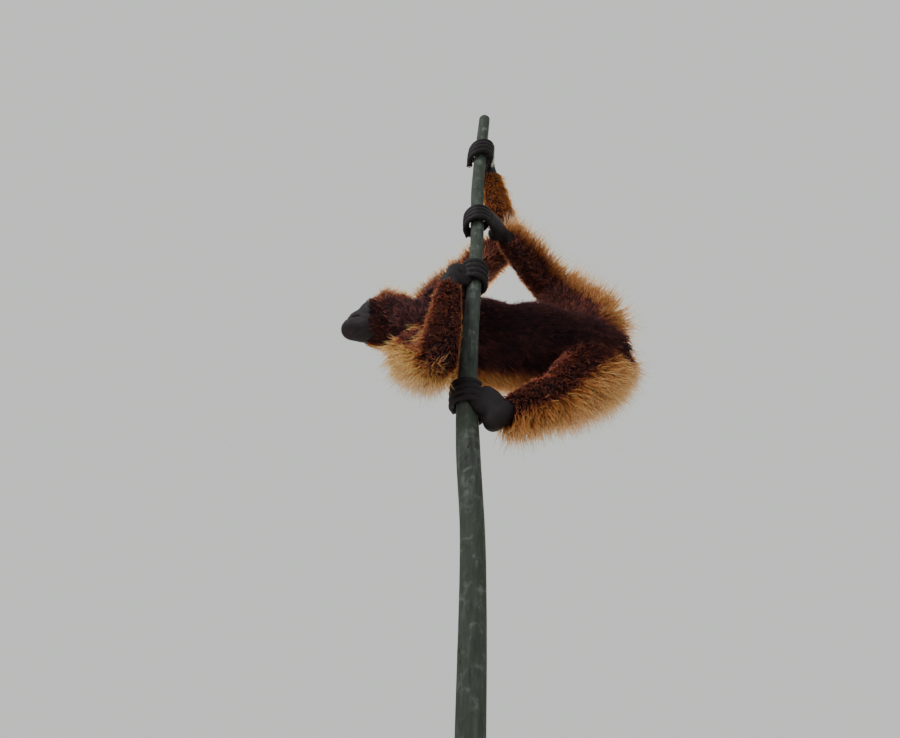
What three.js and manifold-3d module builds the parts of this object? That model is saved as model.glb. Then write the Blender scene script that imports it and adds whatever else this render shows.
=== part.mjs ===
// A life-size orangutan that clings to a slim upright trunk, on a display stand.
// Millimetres, +Z up. The origin is the centre of the underside of the stand's base.
// The ape's head is towards -X, its belly faces the trunk and -Y, and its left side is up.

import * as THREE from 'three';
import { mergeVertices } from 'three/addons/utils/BufferGeometryUtils.js';
import Module from 'manifold-3d';

const wasm = await Module();
wasm.setup();

const at = (x, y, z) => new THREE.Vector3(x, y, z);

// Fit between neighbours, and how much of the coat's depth the smooth core reaches
const gap = 0.3;
const finest = 0.1;
const coatReach = 0.42;

// Locks of the coat: flat, tapered and bent, with the root sunk in the core
const lockThick = 0.17;
const lockSink = 12;
const lockShares = [0, 0.34, 0.7];
const lockWidths = [0.72, 1, 0.66];
const lockClear = 9;
const down = at(0, 0, -1);

// Skeleton: the joints of the adult female in the pose of the photograph
const neckBase = at(-199, 89, 1452);
const headCentre = at(-331, 143, 1532);
const headForward = at(-0.985, -0.106, -0.133);
const headUp = at(-0.16, 0.33, 0.93);
const shoulderLeft = at(-177, 118, 1586);
const shoulderRight = at(-211, 29, 1314);
const elbowLeft = at(18, 53, 1833);
const elbowRight = at(-154, -184, 1083);
const wristLeft = at(-56, -34, 2135);
const wristRight = at(-144, -128, 1408);
const hipLeft = at(250, 97, 1496);
const hipRight = at(229, 61, 1332);
const kneeLeft = at(154, 137, 1722);
const kneeRight = at(120, -50, 1137);
const ankleLeft = at(0, -32, 1750);
const ankleRight = at(-21, -132, 988);
const gripHandLeft = at(-58, -95, 2112);
const gripHandRight = at(-100, -132, 1470);
const gripFootLeft = at(-60, -122, 1722);
const gripFootRight = at(-62, -130, 1050);

// Trunk: its centre line leans and wanders a little, and it thins upwards
const trunkY = -100;
const trunkLine = [
  at(-60, trunkY, 252),
  at(-62, trunkY, 520),
  at(-68, trunkY, 740),
  at(-83, trunkY, 930),
  at(-90, trunkY, 1120),
  at(-85, trunkY, 1400),
  at(-82, trunkY, 1620),
  at(-87, trunkY, 1890),
  at(-81, trunkY, 2130),
  at(-74, trunkY, 2330),
];
const trunkRadii = [24, 24, 24, 25, 22.5, 19, 19.3, 19.6, 19.6, 19.2];
const trunkSides = 12;
const trunkRows = 18;
const barkRipple = 0.035;

// Stand: a flat steel base and one rod up to the trunk's foot
const baseLength = 900;
const baseDepth = 640;
const baseThickness = 12;
const baseCorner = 40;
const rodRadius = 14;

// Head sizes in its own axes: x forward, y to its left, z to the crown
const eyeSpacing = 54;
const eyeRadius = 10;
const eyeForward = 57;
const eyeHeight = 12;
const lidRadius = 12.6;
const socketWidth = 34;
const socketHeight = 26;
const mouthOpen = 9;
const mouthHeight = -49;
const mouthWidth = 74;
const mouthDepth = 62;
const mouthForward = 104;
const nostrilRadius = 3.4;
const nostrilSpacing = 15;
const nostrilForward = 99;
const nostrilHeight = -12;
const earHeight = 44;
const earThickness = 13;

// Digits of the hands and feet
const digitCount = 4;
const digitTip = 6;
const digitSides = 5;
const digitSteps = 5;
const cuffBack = 12;

// Turning shapes into closed solids and back

function solidOf(geometry) {
  const bare = geometry.index ? geometry.clone() : mergeVertices(geometry);
  bare.deleteAttribute('normal');
  bare.deleteAttribute('uv');
  const merged = mergeVertices(bare, 1e-4);
  const vertProperties = new Float32Array(merged.attributes.position.array);
  const triVerts = new Uint32Array(merged.index.array);
  const solid = new wasm.Manifold(new wasm.Mesh({ numProp: 3, vertProperties, triVerts }));
  return solid;
}

function largest(solid) {
  const pieces = solid.decompose();
  pieces.sort((a, b) => b.volume() - a.volume());
  return pieces[0];
}

function union(solids) {
  return solids.reduce((whole, next) => whole.add(next));
}

function cutBy(solid, cutters) {
  return cutters.reduce((rest, cutter) => rest.subtract(cutter), solid);
}

function mesh(name, solid, material) {
  const { vertProperties, triVerts } = solid.getMesh();
  const geometry = new THREE.BufferGeometry();
  geometry.setAttribute('position', new THREE.BufferAttribute(vertProperties, 3));
  geometry.setIndex(new THREE.BufferAttribute(triVerts, 1));
  geometry.computeVertexNormals();
  const made = new THREE.Mesh(geometry, material);
  made.name = name;
  return made;
}

// Lofted forms: rings of equal count, closed by a single point at each end

function loft(start, rings, end) {
  const sides = rings[0].length;
  const points = [start, ...rings.flat(), end];
  const last = points.length - 1;
  const faces = [];
  for (let k = 0; k < sides; k += 1) {
    const next = (k + 1) % sides;
    faces.push(0, 1 + next, 1 + k);
    faces.push(last, last - sides + k, last - sides + next);
    for (let row = 0; row < rings.length - 1; row += 1) {
      const a = 1 + row * sides;
      const b = a + sides;
      faces.push(a + k, a + next, b + next);
      faces.push(a + k, b + next, b + k);
    }
  }
  const geometry = new THREE.BufferGeometry();
  geometry.setAttribute('position', new THREE.Float32BufferAttribute(points.flatMap((p) => p.toArray()), 3));
  geometry.setIndex(faces);
  return solidOf(geometry);
}

// A spine gives the centre, axes and half sizes at each share u of a form's length
function spine({ line, wide, deep, lateral, coatTowards = at(0, 0, 0), coatDepth = 0, reach = coatReach }) {
  const path = new THREE.CatmullRomCurve3(line);
  const girth = new THREE.CatmullRomCurve3(line.map((point, i) => at(wide[i], deep[i], 0)));
  const extra = (coatDepth * reach) / 2;
  const shift = coatTowards.clone().normalize().multiplyScalar(extra);
  return (u) => {
    const along = path.getTangent(u);
    const front = along.clone().cross(lateral).normalize();
    const side = front.clone().cross(along).normalize();
    const size = girth.getPoint(u);
    const centre = path.getPoint(u).add(shift);
    return { centre, along, front, side, wide: size.x + extra, deep: size.y + extra };
  };
}

function ringAt({ centre, front, side, wide, deep }, sides, scale, grow) {
  return Array.from({ length: sides }, (_, k) => {
    const turn = (2 * Math.PI * k) / sides;
    return centre.clone()
      .addScaledVector(side, Math.cos(turn) * (wide * scale + grow))
      .addScaledVector(front, Math.sin(turn) * (deep * scale + grow));
  });
}

const capTurns = [26, 60];
const digitCapTurns = [40];

function form(section, { steps, sides, caps, turns = capTurns }, grow = 0) {
  const rings = [];
  const bends = turns.map((degrees) => THREE.MathUtils.degToRad(degrees));
  const first = section(0);
  const last = section(1);
  const moved = (station, distance) => ({
    ...station,
    centre: station.centre.clone().addScaledVector(station.along, distance),
  });
  for (const turn of [...bends].reverse()) {
    const station = moved(first, -Math.sin(turn) * caps[0]);
    rings.push(ringAt(station, sides, Math.cos(turn), grow));
  }
  for (let i = 0; i <= steps; i += 1) {
    rings.push(ringAt(section(i / steps), sides, 1, grow));
  }
  for (const turn of bends) {
    const station = moved(last, Math.sin(turn) * caps[1]);
    rings.push(ringAt(station, sides, Math.cos(turn), grow));
  }
  const start = moved(first, -caps[0] - grow).centre;
  const end = moved(last, caps[1] + grow).centre;
  return loft(start, rings, end);
}

function ball(centre, radii, columns = 16, rows = 10) {
  const geometry = new THREE.SphereGeometry(1, columns, rows);
  geometry.scale(radii.x, radii.y, radii.z);
  geometry.translate(centre.x, centre.y, centre.z);
  return solidOf(geometry);
}

// The plane at a joint halves the bend between the two lengths that meet there
function jointNormal(before, joint, after) {
  const arriving = joint.clone().sub(before).normalize();
  const leaving = after.clone().sub(joint).normalize();
  return arriving.add(leaving).normalize();
}

function beforeJoint(solid, normal, joint, grow) {
  return solid.trimByPlane(normal.clone().negate().toArray(), -normal.dot(joint) + gap / 2 - grow);
}

function afterJoint(solid, normal, joint, grow) {
  return solid.trimByPlane(normal.toArray(), normal.dot(joint) + gap / 2 - grow);
}

// Trunk, with low ripples along and round the bark

function trunkStation(u) {
  const path = new THREE.CatmullRomCurve3(trunkLine);
  const girth = new THREE.CatmullRomCurve3(trunkRadii.map((radius) => at(radius, 0, 0)));
  return { centre: path.getPoint(u), radius: girth.getPoint(u).x };
}

function trunk(grow) {
  const rings = [];
  for (let i = 0; i <= trunkRows; i += 1) {
    const { centre, radius } = trunkStation(i / trunkRows);
    const ring = [];
    for (let k = 0; k < trunkSides; k += 1) {
      const turn = (2 * Math.PI * k) / trunkSides;
      const ripple = 1 + barkRipple * Math.sin(2 * turn + i * 1.3) * Math.cos(i * 0.9);
      const reach = radius * ripple + grow;
      ring.push(centre.clone().add(at(Math.cos(turn) * reach, Math.sin(turn) * reach, 0)));
    }
    rings.push(ring);
  }
  const low = trunkLine[0].clone().add(at(0, 0, -grow));
  const high = trunkLine.at(-1).clone().add(at(0, 0, grow));
  rings[0].forEach((point) => point.setZ(low.z));
  rings.at(-1).forEach((point) => point.setZ(high.z));
  return loft(low, rings, high);
}

function trunkAt(height) {
  const path = new THREE.CatmullRomCurve3(trunkLine);
  let u = (height - trunkLine[0].z) / (trunkLine.at(-1).z - trunkLine[0].z);
  for (let pass = 0; pass < 4; pass += 1) {
    u += (height - path.getPoint(u).z) / (trunkLine.at(-1).z - trunkLine[0].z);
  }
  return trunkStation(u);
}

// Stand

function standBase() {
  const outline = new THREE.Shape();
  const x = baseLength / 2;
  const y = baseDepth / 2;
  outline.moveTo(-x + baseCorner, -y);
  outline.absarc(x - baseCorner, -y + baseCorner, baseCorner, -Math.PI / 2, 0);
  outline.absarc(x - baseCorner, y - baseCorner, baseCorner, 0, Math.PI / 2);
  outline.absarc(-x + baseCorner, y - baseCorner, baseCorner, Math.PI / 2, Math.PI);
  outline.absarc(-x + baseCorner, -y + baseCorner, baseCorner, Math.PI, 1.5 * Math.PI);
  const geometry = new THREE.ExtrudeGeometry(outline, {
    depth: baseThickness,
    bevelEnabled: false,
    curveSegments: 4,
  });
  return solidOf(geometry);
}

function standRod() {
  const foot = trunkLine[0];
  const low = baseThickness + gap;
  const high = foot.z - gap;
  const geometry = new THREE.CylinderGeometry(rodRadius, rodRadius, high - low, 20);
  geometry.rotateX(Math.PI / 2);
  geometry.translate(foot.x, foot.y, (low + high) / 2);
  return solidOf(geometry);
}

// Coat

// One lock, as rings of four points along a line that bends as the hair hangs
function lock({ root, out, lie, length, width, stand, hang, clearOf }, grow) {
  const across = out.clone().cross(lie).normalize();
  const line = (share) => {
    const point = root.clone()
      .addScaledVector(out, -lockSink + (lockSink + stand) * Math.min(1, share * 1.6))
      .addScaledVector(lie, length * share)
      .addScaledVector(down, length * hang * share * share);
    return share > 0.2 ? pushedClear(point, clearOf) : point;
  };
  const rings = lockShares.map((share, i) => {
    const centre = line(share);
    const side = (width / 2) * lockWidths[i] + grow;
    const thick = (width / 2) * lockThick * (1.3 - share) + grow;
    return [
      centre.clone().addScaledVector(across, side),
      centre.clone().addScaledVector(out, thick * 1.2),
      centre.clone().addScaledVector(across, -side),
      centre.clone().addScaledVector(out, -thick),
    ];
  });
  const start = line(0);
  const end = line(1).addScaledVector(lie, grow);
  return loft(start, rings, end);
}

// A point too near another length of the body, or the trunk, is moved out to clear it
function pushedClear(point, obstacles) {
  for (const { from, to, radius } of obstacles) {
    const near = new THREE.Line3(from, to).closestPointToPoint(point, true, at(0, 0, 0));
    const away = point.clone().sub(near);
    if (away.length() < radius + lockClear) {
      point.copy(near).addScaledVector(away.normalize(), radius + lockClear);
    }
  }
  return point;
}

function seeded(seed) {
  let state = seed;
  return () => {
    state = (state * 1664525 + 1013904223) % 4294967296;
    return state / 4294967296;
  };
}

// Locks in staggered rows over a core: rows run along it, and each row goes round the side the coat favours
function coatRows(section, { rows, turns, lie, length, width, stand, hang, towards, seed, clearOf }, grow) {
  const random = seeded(seed);
  const locks = [];
  for (let i = 0; i < rows.count; i += 1) {
    const u = rows.from + ((rows.to - rows.from) * i) / (rows.count - 1);
    const { centre, along, front, side, wide, deep } = section(u);
    const middle = Math.atan2(towards.dot(front), towards.dot(side));
    for (let k = 0; k < turns.count; k += 1) {
      const stagger = (i % 2) * 0.5 + 0.25 + (random() - 0.5) * 0.3;
      const share = (k + stagger) / turns.count - 0.5;
      const turn = middle + THREE.MathUtils.degToRad(turns.spread * share);
      const out = side.clone().multiplyScalar(Math.cos(turn) * deep)
        .addScaledVector(front, Math.sin(turn) * wide)
        .normalize();
      const root = centre.clone()
        .addScaledVector(side, Math.cos(turn) * wide)
        .addScaledVector(front, Math.sin(turn) * deep);
      const fullness = (0.62 + 0.38 * Math.max(0, out.dot(towards))) * (0.85 + 0.3 * random());
      const direction = along.clone().multiplyScalar(lie).addScaledVector(towards, 0.45)
        .addScaledVector(out, 0.15 + 0.2 * random()).normalize();
      locks.push(lock({
        root, out, lie: direction, width: width * (0.9 + 0.2 * random()), hang, clearOf,
        length: length * fullness, stand: stand * fullness,
      }, grow));
    }
  }
  return union(locks);
}

// Torso and limbs

const shoulderAxis = shoulderLeft.clone().sub(shoulderRight).normalize();

const torsoCoat = {
  rows: { from: 0.04, to: 0.86, count: 7 },
  turns: { spread: 210, count: 6 },
  lie: 1, length: 112, width: 88, stand: 36, hang: 0.14, seed: 11,
  towards: at(0.1, 0.97, -0.12).normalize(),
};

const torsoSection = spine({
  line: [at(-212, 92, 1456), at(-150, 84, 1450), at(-60, 80, 1432), at(60, 78, 1416),
    at(155, 80, 1410), at(240, 84, 1410), at(292, 92, 1410)],
  wide: [100, 132, 132, 112, 114, 112, 84],
  deep: [76, 100, 106, 92, 94, 92, 68],
  lateral: shoulderAxis,
  coatTowards: at(0.1, 0.95, -0.3),
  coatDepth: 80,
});

const neckSection = spine({
  line: [neckBase.clone(), at(-262, 116, 1498), headCentre.clone()],
  wide: [80, 70, 62],
  deep: [72, 66, 62],
  lateral: at(0, 0.3, 0.95),
  coatTowards: at(0.3, 0.9, -0.1),
  coatDepth: 34,
  reach: 1,
});

const limbs = {
  left_arm: {
    stops: [shoulderLeft, elbowLeft, wristLeft, gripHandLeft],
    upper: { radii: [52, 46, 35], towards: at(-0.55, 0.55, 0.35), depth: 60, length: 96, lie: 0.6 },
    lower: { radii: [34, 32, 25], towards: at(0.9, 0.35, 0.1), depth: 34, reach: 1 },
    lateral: at(0, 1, 0),
  },
  right_arm: {
    stops: [shoulderRight, elbowRight, wristRight, gripHandRight],
    upper: { radii: [46, 38, 32], towards: at(-0.5, 0.6, -0.5), depth: 44, length: 56, lie: 0.6 },
    lower: { radii: [32, 28, 20], towards: at(-0.9, -0.3, 0), depth: 20, reach: 1 },
    lateral: at(1, 0, 0),
  },
  left_leg: {
    stops: [hipLeft, kneeLeft, ankleLeft, gripFootLeft],
    upper: { radii: [66, 52, 36], towards: at(0.75, 0.5, 0.2), depth: 66, length: 100, lie: 0.5 },
    lower: { radii: [36, 33, 24], towards: at(0.6, 0.3, 0.75), depth: 56, reach: 1 },
    lateral: at(0, 1, 0),
  },
  right_leg: {
    stops: [hipRight, kneeRight, ankleRight, gripFootRight],
    upper: { radii: [66, 52, 36], towards: at(0.6, 0.5, -0.6), depth: 32, length: 48, lie: 0.5 },
    lower: { radii: [36, 33, 24], towards: at(0.4, 0.3, -0.8), depth: 34, reach: 1 },
    lateral: at(0, 1, 0),
  },
};

const upperCoat = {
  rows: { from: 0.08, to: 0.86, count: 4 },
  turns: { spread: 230, count: 4 },
  width: 66, hang: 0.24, rise: 0.55,
};

function limbSection(from, to, { radii, towards, depth, reach }, lateral) {
  return spine({
    line: [from, from.clone().lerp(to, 0.4), to],
    wide: radii,
    deep: radii,
    lateral,
    coatTowards: towards,
    coatDepth: depth,
    reach,
  });
}

function upperLength(limb, grow) {
  const [root, middle, end] = limb.stops;
  const section = limbSection(root, middle, limb.upper, limb.lateral);
  const raw = form(section, { steps: 6, sides: 11, caps: [40, 34] }, grow);
  return beforeJoint(raw, jointNormal(root, middle, end), middle, grow);
}

// A wrist or ankle is parted a little up the limb, where the bare hand or foot begins
function cuff(limb) {
  const [, middle, end, tip] = limb.stops;
  const place = end.clone().add(middle.clone().sub(end).setLength(cuffBack));
  return { place, normal: jointNormal(middle, end, tip) };
}

function lowerLength(limb, grow) {
  const [root, middle, end] = limb.stops;
  const section = limbSection(middle, end, limb.lower, limb.lateral);
  const raw = form(section, { steps: 6, sides: 11, caps: [34, 20] }, grow);
  const pastMiddle = afterJoint(raw, jointNormal(root, middle, end), middle, grow);
  const { place, normal } = cuff(limb);
  return beforeJoint(pastMiddle, normal, place, grow);
}

// The lengths of the body as round bars, which the locks of other lengths keep clear of
const bars = {
  perch_trunk: { from: trunkLine[0], to: trunkLine.at(-1), radius: 26 },
  torso: { from: at(-150, 84, 1452), to: at(240, 84, 1412), radius: 118 },
  head: { from: headCentre, to: at(-400, 128, 1500), radius: 74 },
};
const sides = { left: 1, right: -1 };
for (const side of Object.keys(sides)) {
  for (const [limbName, upper, lower] of [['arm', 'upper_arm', 'forearm'], ['leg', 'thigh', 'shin']]) {
    const { stops: [root, middle, end, tip], upper: high, lower: low } = limbs[`${side}_${limbName}`];
    bars[`${upper}_${side}`] = { from: root, to: middle, radius: high.radii[1] };
    bars[`${lower}_${side}`] = { from: middle, to: end, radius: low.radii[1] };
    bars[`tip_${side}_${limbName}`] = { from: end, to: tip, radius: 30 };
  }
}

function barsBut(...names) {
  return Object.entries(bars).filter(([name]) => !names.includes(name)).map(([, bar]) => bar);
}

function limbCoat({ stops: [root, middle], upper, lateral }, name, seed, grow) {
  const section = limbSection(root, middle, upper, lateral);
  const settings = {
    ...upperCoat,
    lie: upper.lie,
    length: upper.length,
    stand: upper.depth * upperCoat.rise,
    towards: upper.towards.clone().normalize(),
    seed,
    clearOf: barsBut(name),
  };
  return coatRows(section, settings, grow);
}

// Hands and feet: a flat palm or sole, and digits that wind round the trunk

const grips = {
  left_hand: {
    limb: 'left_arm', centre: 2106, start: 15, sweep: -225, lean: -48, pitch: 20, loose: 5,
    wide: 42, thick: 19, digit: 10, heel: at(4, 0, 0), heelRadius: 24,
    thumb: { start: 60, sweep: 90, rise: -24 },
  },
  right_hand: {
    limb: 'right_arm', centre: 1468, start: 215, sweep: 225, lean: -10, pitch: 19, loose: 0,
    wide: 38, thick: 17, digit: 9.6, heel: at(-4, 0, 0), heelRadius: 23,
    thumb: { start: 170, sweep: -110, rise: -26 },
  },
  left_foot: {
    limb: 'left_leg', centre: 1718, start: -35, sweep: -200, lean: -22, pitch: 16, loose: 6,
    wide: 35, thick: 20, digit: 8.8, heel: at(-27, -14, -10), heelRadius: 23,
    thumb: { start: 30, sweep: 110, rise: -30 },
  },
  right_foot: {
    limb: 'right_leg', centre: 1052, start: -48, sweep: -185, lean: 4, pitch: 16.5, loose: 1,
    wide: 35, thick: 19, digit: 8.8, heel: at(-14, 6, -12), heelRadius: 23,
    thumb: { start: 20, sweep: 80, rise: -26 },
  },
};

function winding(height, startDegrees, sweepDegrees, rise, clearance, count) {
  return Array.from({ length: count }, (_, i) => {
    const share = i / (count - 1);
    const turn = THREE.MathUtils.degToRad(startDegrees + sweepDegrees * share);
    const { centre, radius } = trunkAt(height + rise * share);
    const reach = radius + clearance(share);
    return at(centre.x + Math.cos(turn) * reach, centre.y + Math.sin(turn) * reach, height + rise * share);
  });
}

function digit(line, thickness, grow) {
  const radii = line.map((point, i) => THREE.MathUtils.lerp(thickness, digitTip, i / (line.length - 1)));
  const section = spine({ line, wide: radii, deep: radii, lateral: at(0, 0, 1) });
  const size = { steps: digitSteps, sides: digitSides, caps: [digitTip, digitTip], turns: digitCapTurns };
  return form(section, size, grow);
}

function gripper(grip, grow) {
  const { place, normal } = cuff(limbs[grip.limb]);
  const [, middle, wrist] = limbs[grip.limb].stops;
  const nearest = grip.digit + 3 + grip.loose;
  const reachOut = (share) => nearest - 2 * share + 1.6 * Math.abs(Math.sin(share * 3 * Math.PI));
  const pieces = [];
  const knuckleRow = at(0, 0, 0);
  for (let i = 0; i < digitCount; i += 1) {
    const height = grip.centre + (i - (digitCount - 1) / 2) * grip.pitch;
    const outer = i === 0 || i === digitCount - 1;
    const line = winding(height, grip.start, grip.sweep * (outer ? 0.9 : 1), grip.lean, reachOut, 7);
    knuckleRow.addScaledVector(line[0], 1 / digitCount);
    pieces.push(digit(line, grip.digit, grow));
  }
  const inPalm = wrist.clone().lerp(knuckleRow, 0.5);
  const { centre, radius } = trunkAt(inPalm.z);
  const away = inPalm.clone().sub(centre).setZ(0);
  const clear = Math.max(away.length(), radius + grip.thick + 3);
  inPalm.copy(centre).addScaledVector(away.normalize(), clear).setZ((wrist.z + knuckleRow.z) / 2);
  const palm = spine({
    line: [wrist.clone().lerp(middle, 0.1), wrist, inPalm, knuckleRow],
    wide: [24, 23, grip.wide, grip.wide],
    deep: [22, 20, grip.thick, grip.digit + 2],
    lateral: at(0, 0, 1),
  });
  pieces.push(form(palm, { steps: 5, sides: 8, caps: [10, 8] }, grow));
  const heelRadius = grip.heelRadius + grow;
  pieces.push(ball(wrist.clone().add(grip.heel), at(heelRadius, heelRadius, heelRadius), 8, 5));
  const { start, sweep, rise } = grip.thumb;
  const thumbLine = winding(inPalm.z, start, sweep, rise, reachOut, 5);
  pieces.push(digit([inPalm.clone(), ...thumbLine], grip.digit + 1, grow));
  return afterJoint(union(pieces), normal, place, grow);
}

// Head: soft blobs melted into one surface, found along rays from the middle of the head

const headBlobs = [
  { name: 'braincase', at: [-18, 0, 24], size: [76, 66, 66] },
  { name: 'brow', at: [44, 0, 26], size: [30, 44, 24] },
  { name: 'left cheek', at: [38, 38, -14], size: [34, 26, 40] },
  { name: 'right cheek', at: [38, -38, -14], size: [34, 26, 40] },
  { name: 'muzzle', at: [69, 0, -23], size: [36, 38, 31] },
  { name: 'upper lip', at: [83, 0, -34], size: [25, 33, 18] },
  { name: 'jaw', at: [57, 0, -65], size: [50, 38, 30] },
  { name: 'lower lip', at: [97, 0, -67], size: [25, 29, 21] },
  { name: 'nape', at: [-46, 0, -18], size: [42, 52, 50] },
  { name: 'throat', at: [4, 0, -58], size: [46, 44, 38] },
];
const headSeed = at(22, 0, -16);
const blend = 7;
const headColumns = 24;
const headRows = 16;

function headField(point) {
  let sum = 0;
  for (const blob of headBlobs) {
    const [x, y, z] = blob.at;
    const [a, b, c] = blob.size;
    const reach = Math.hypot((point.x - x) / a, (point.y - y) / b, (point.z - z) / c);
    const mean = Math.cbrt(a * b * c);
    sum += Math.exp((-(reach - 1) * mean) / blend);
  }
  return -Math.log(sum) * blend;
}

function headSurface(direction, grow) {
  let inside = 0;
  let outside = 180;
  for (let pass = 0; pass < 24; pass += 1) {
    const middle = (inside + outside) / 2;
    const point = headSeed.clone().addScaledVector(direction, middle);
    if (headField(point) < 0) {
      inside = middle;
    } else {
      outside = middle;
    }
  }
  return headSeed.clone().addScaledVector(direction, inside + grow);
}

const headLeft = headUp.clone().cross(headForward).normalize();
const headCrown = headForward.clone().cross(headLeft).normalize();
const headPlace = new THREE.Matrix4()
  .makeBasis(headForward.clone().normalize(), headLeft, headCrown)
  .setPosition(headCentre);

function inHead(geometry) {
  return solidOf(geometry.applyMatrix4(headPlace));
}

function headBall(centre, radii, columns = 10, rows = 7) {
  const geometry = new THREE.SphereGeometry(1, columns, rows);
  geometry.rotateX(Math.PI / 2);
  geometry.scale(radii.x, radii.y, radii.z);
  geometry.translate(centre.x, centre.y, centre.z);
  return inHead(geometry);
}

function skull(grow) {
  const geometry = new THREE.SphereGeometry(1, headColumns, headRows);
  geometry.rotateZ(-Math.PI / 2);
  const places = geometry.attributes.position;
  for (let i = 0; i < places.count; i += 1) {
    const direction = new THREE.Vector3().fromBufferAttribute(places, i).normalize();
    const point = headSurface(direction, grow);
    places.setXYZ(i, point.x, point.y, point.z);
  }
  return inHead(geometry);
}

function eyeCentre(hand) {
  return at(eyeForward, (hand * eyeSpacing) / 2, eyeHeight);
}

function eye(hand, grow) {
  const radius = eyeRadius + grow;
  return headBall(eyeCentre(hand), at(radius, radius, radius));
}

// A hollow in the brow, then a ball of lid skin, then the slit that bares the eye
function socket(hand) {
  const centre = eyeCentre(hand).add(at(lidRadius * 1.3, 0, 0));
  return headBall(centre, at(lidRadius, socketWidth / 2, socketHeight / 2));
}

function lids(hand) {
  return headBall(eyeCentre(hand), at(lidRadius, lidRadius, lidRadius));
}

function lidSlit(hand) {
  const centre = eyeCentre(hand).add(at(lidRadius, 0, 0));
  return headBall(centre, at(lidRadius, eyeRadius * 0.95, eyeRadius * 0.5));
}

function mouthCut() {
  const centre = at(mouthForward, 0, mouthHeight);
  return headBall(centre, at(mouthDepth, mouthWidth / 2, mouthOpen / 2), 12, 4);
}

function nostril(hand) {
  const centre = at(nostrilForward, (hand * nostrilSpacing) / 2, nostrilHeight);
  return headBall(centre, at(nostrilRadius * 2, nostrilRadius, nostrilRadius * 0.8), 6, 4);
}

function head() {
  const hollowed = cutBy(skull(0), [socket(1), socket(-1)]);
  const withLids = union([hollowed, lids(1), lids(-1)]);
  const openings = [1, -1].flatMap((hand) => [eye(hand, gap), lidSlit(hand), nostril(hand)]);
  return cutBy(withLids, [...openings, mouthCut()]);
}

// Short locks over the crown, cheeks and nape, swept back from the brow
const headCoat = { rows: 3, columns: 6, from: 40, to: 116, length: 76, width: 66, stand: 7 };

function headLocks(grow) {
  const random = seeded(21);
  const locks = [];
  const axes = new THREE.Matrix3().setFromMatrix4(headPlace);
  for (let i = 0; i < headCoat.rows; i += 1) {
    const back = headCoat.from + ((headCoat.to - headCoat.from) * i) / (headCoat.rows - 1);
    for (let k = 0; k < headCoat.columns; k += 1) {
      const roll = -118 + (236 * (k + (i % 2) * 0.5)) / (headCoat.columns - 0.5) + 6 * (random() - 0.5);
      const nod = THREE.MathUtils.degToRad(back + (Math.abs(roll) > 70 ? 32 : 0));
      const turn = THREE.MathUtils.degToRad(roll);
      const out = at(Math.cos(nod), Math.sin(nod) * Math.sin(turn), Math.sin(nod) * Math.cos(turn));
      const sweep = at(-Math.sin(nod), Math.cos(nod) * Math.sin(turn), Math.cos(nod) * Math.cos(turn));
      const root = headSurface(out, -2).applyMatrix4(headPlace);
      const lie = sweep.addScaledVector(out, 0.25 + 0.2 * random()).applyMatrix3(axes).normalize();
      out.applyMatrix3(axes);
      const vary = 0.85 + 0.3 * random();
      locks.push(lock({
        root, out, lie, length: headCoat.length * vary, width: headCoat.width,
        stand: headCoat.stand * vary, hang: 0.1, clearOf: barsBut('head', 'torso'),
      }, grow));
    }
  }
  return union(locks);
}

function ear(hand, grow) {
  const centre = at(-8, hand * 68, 6);
  const outer = headBall(centre, at(earThickness + grow, 10 + grow, earHeight / 2 + grow), 8, 6);
  const bowlCentre = centre.clone().add(at(5, hand * 9, 2));
  const bowl = headBall(bowlCentre, at(earThickness - 4, 9, earHeight / 2 - 7), 8, 5);
  return outer.subtract(bowl);
}

// Assembly: what is fixed first keeps its shape, and what meets it is cut to it

const colours = {
  coat: { color: 0x8a4a22, roughness: 0.9 },
  skin: { color: 0x4a3634, roughness: 0.7 },
  eye: { color: 0x2a1710, roughness: 0.15 },
  bark: { color: 0x6f7465, roughness: 0.95 },
  steel: { color: 0x2c2d2e, roughness: 0.5, metalness: 0.4 },
};

const torsoSize = { steps: 11, sides: 20, caps: [46, 40] };
const neckSize = { steps: 4, sides: 14, caps: [20, 20] };

const pieces = [
  { name: 'perch_trunk', colour: 'bark', build: trunk },
  { name: 'stand_base', colour: 'steel', build: standBase },
  { name: 'stand_rod', colour: 'steel', build: standRod },
  { name: 'head', colour: 'coat', build: head, cutter: skull, coat: headLocks },
  {
    name: 'torso',
    colour: 'coat',
    build: (grow) => form(torsoSection, torsoSize, grow),
    coat: (grow) => coatRows(torsoSection, { ...torsoCoat, clearOf: barsBut('torso') }, grow),
  },
  {
    name: 'neck',
    colour: 'coat',
    build: (grow) => form(neckSection, neckSize, grow),
  },
];
for (const [side, hand] of Object.entries(sides)) {
  pieces.push({ name: `eye_${side}`, colour: 'eye', build: (grow) => eye(hand, grow), inSocket: true });
  pieces.push({ name: `ear_${side}`, colour: 'skin', build: (grow) => ear(hand, grow) });
}
for (const side of Object.keys(sides)) {
  for (const part of ['hand', 'foot']) {
    const grip = grips[`${side}_${part}`];
    pieces.push({ name: `${part}_${side}`, colour: 'skin', build: (grow) => gripper(grip, grow) });
  }
}
const lengths = [
  { part: 'shin', limb: 'leg', build: lowerLength },
  { part: 'forearm', limb: 'arm', build: lowerLength },
  { part: 'upper_arm', limb: 'arm', build: upperLength, seed: 51 },
  { part: 'thigh', limb: 'leg', build: upperLength, seed: 61 },
];
for (const { part, limb, build, seed } of lengths) {
  for (const side of Object.keys(sides)) {
    const name = `${part}_${side}`;
    const size = limbs[`${side}_${limb}`];
    pieces.push({
      name,
      colour: 'coat',
      build: (grow) => build(size, grow),
      coat: seed && ((grow) => limbCoat(size, name, seed + sides[side], grow)),
    });
  }
}

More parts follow.
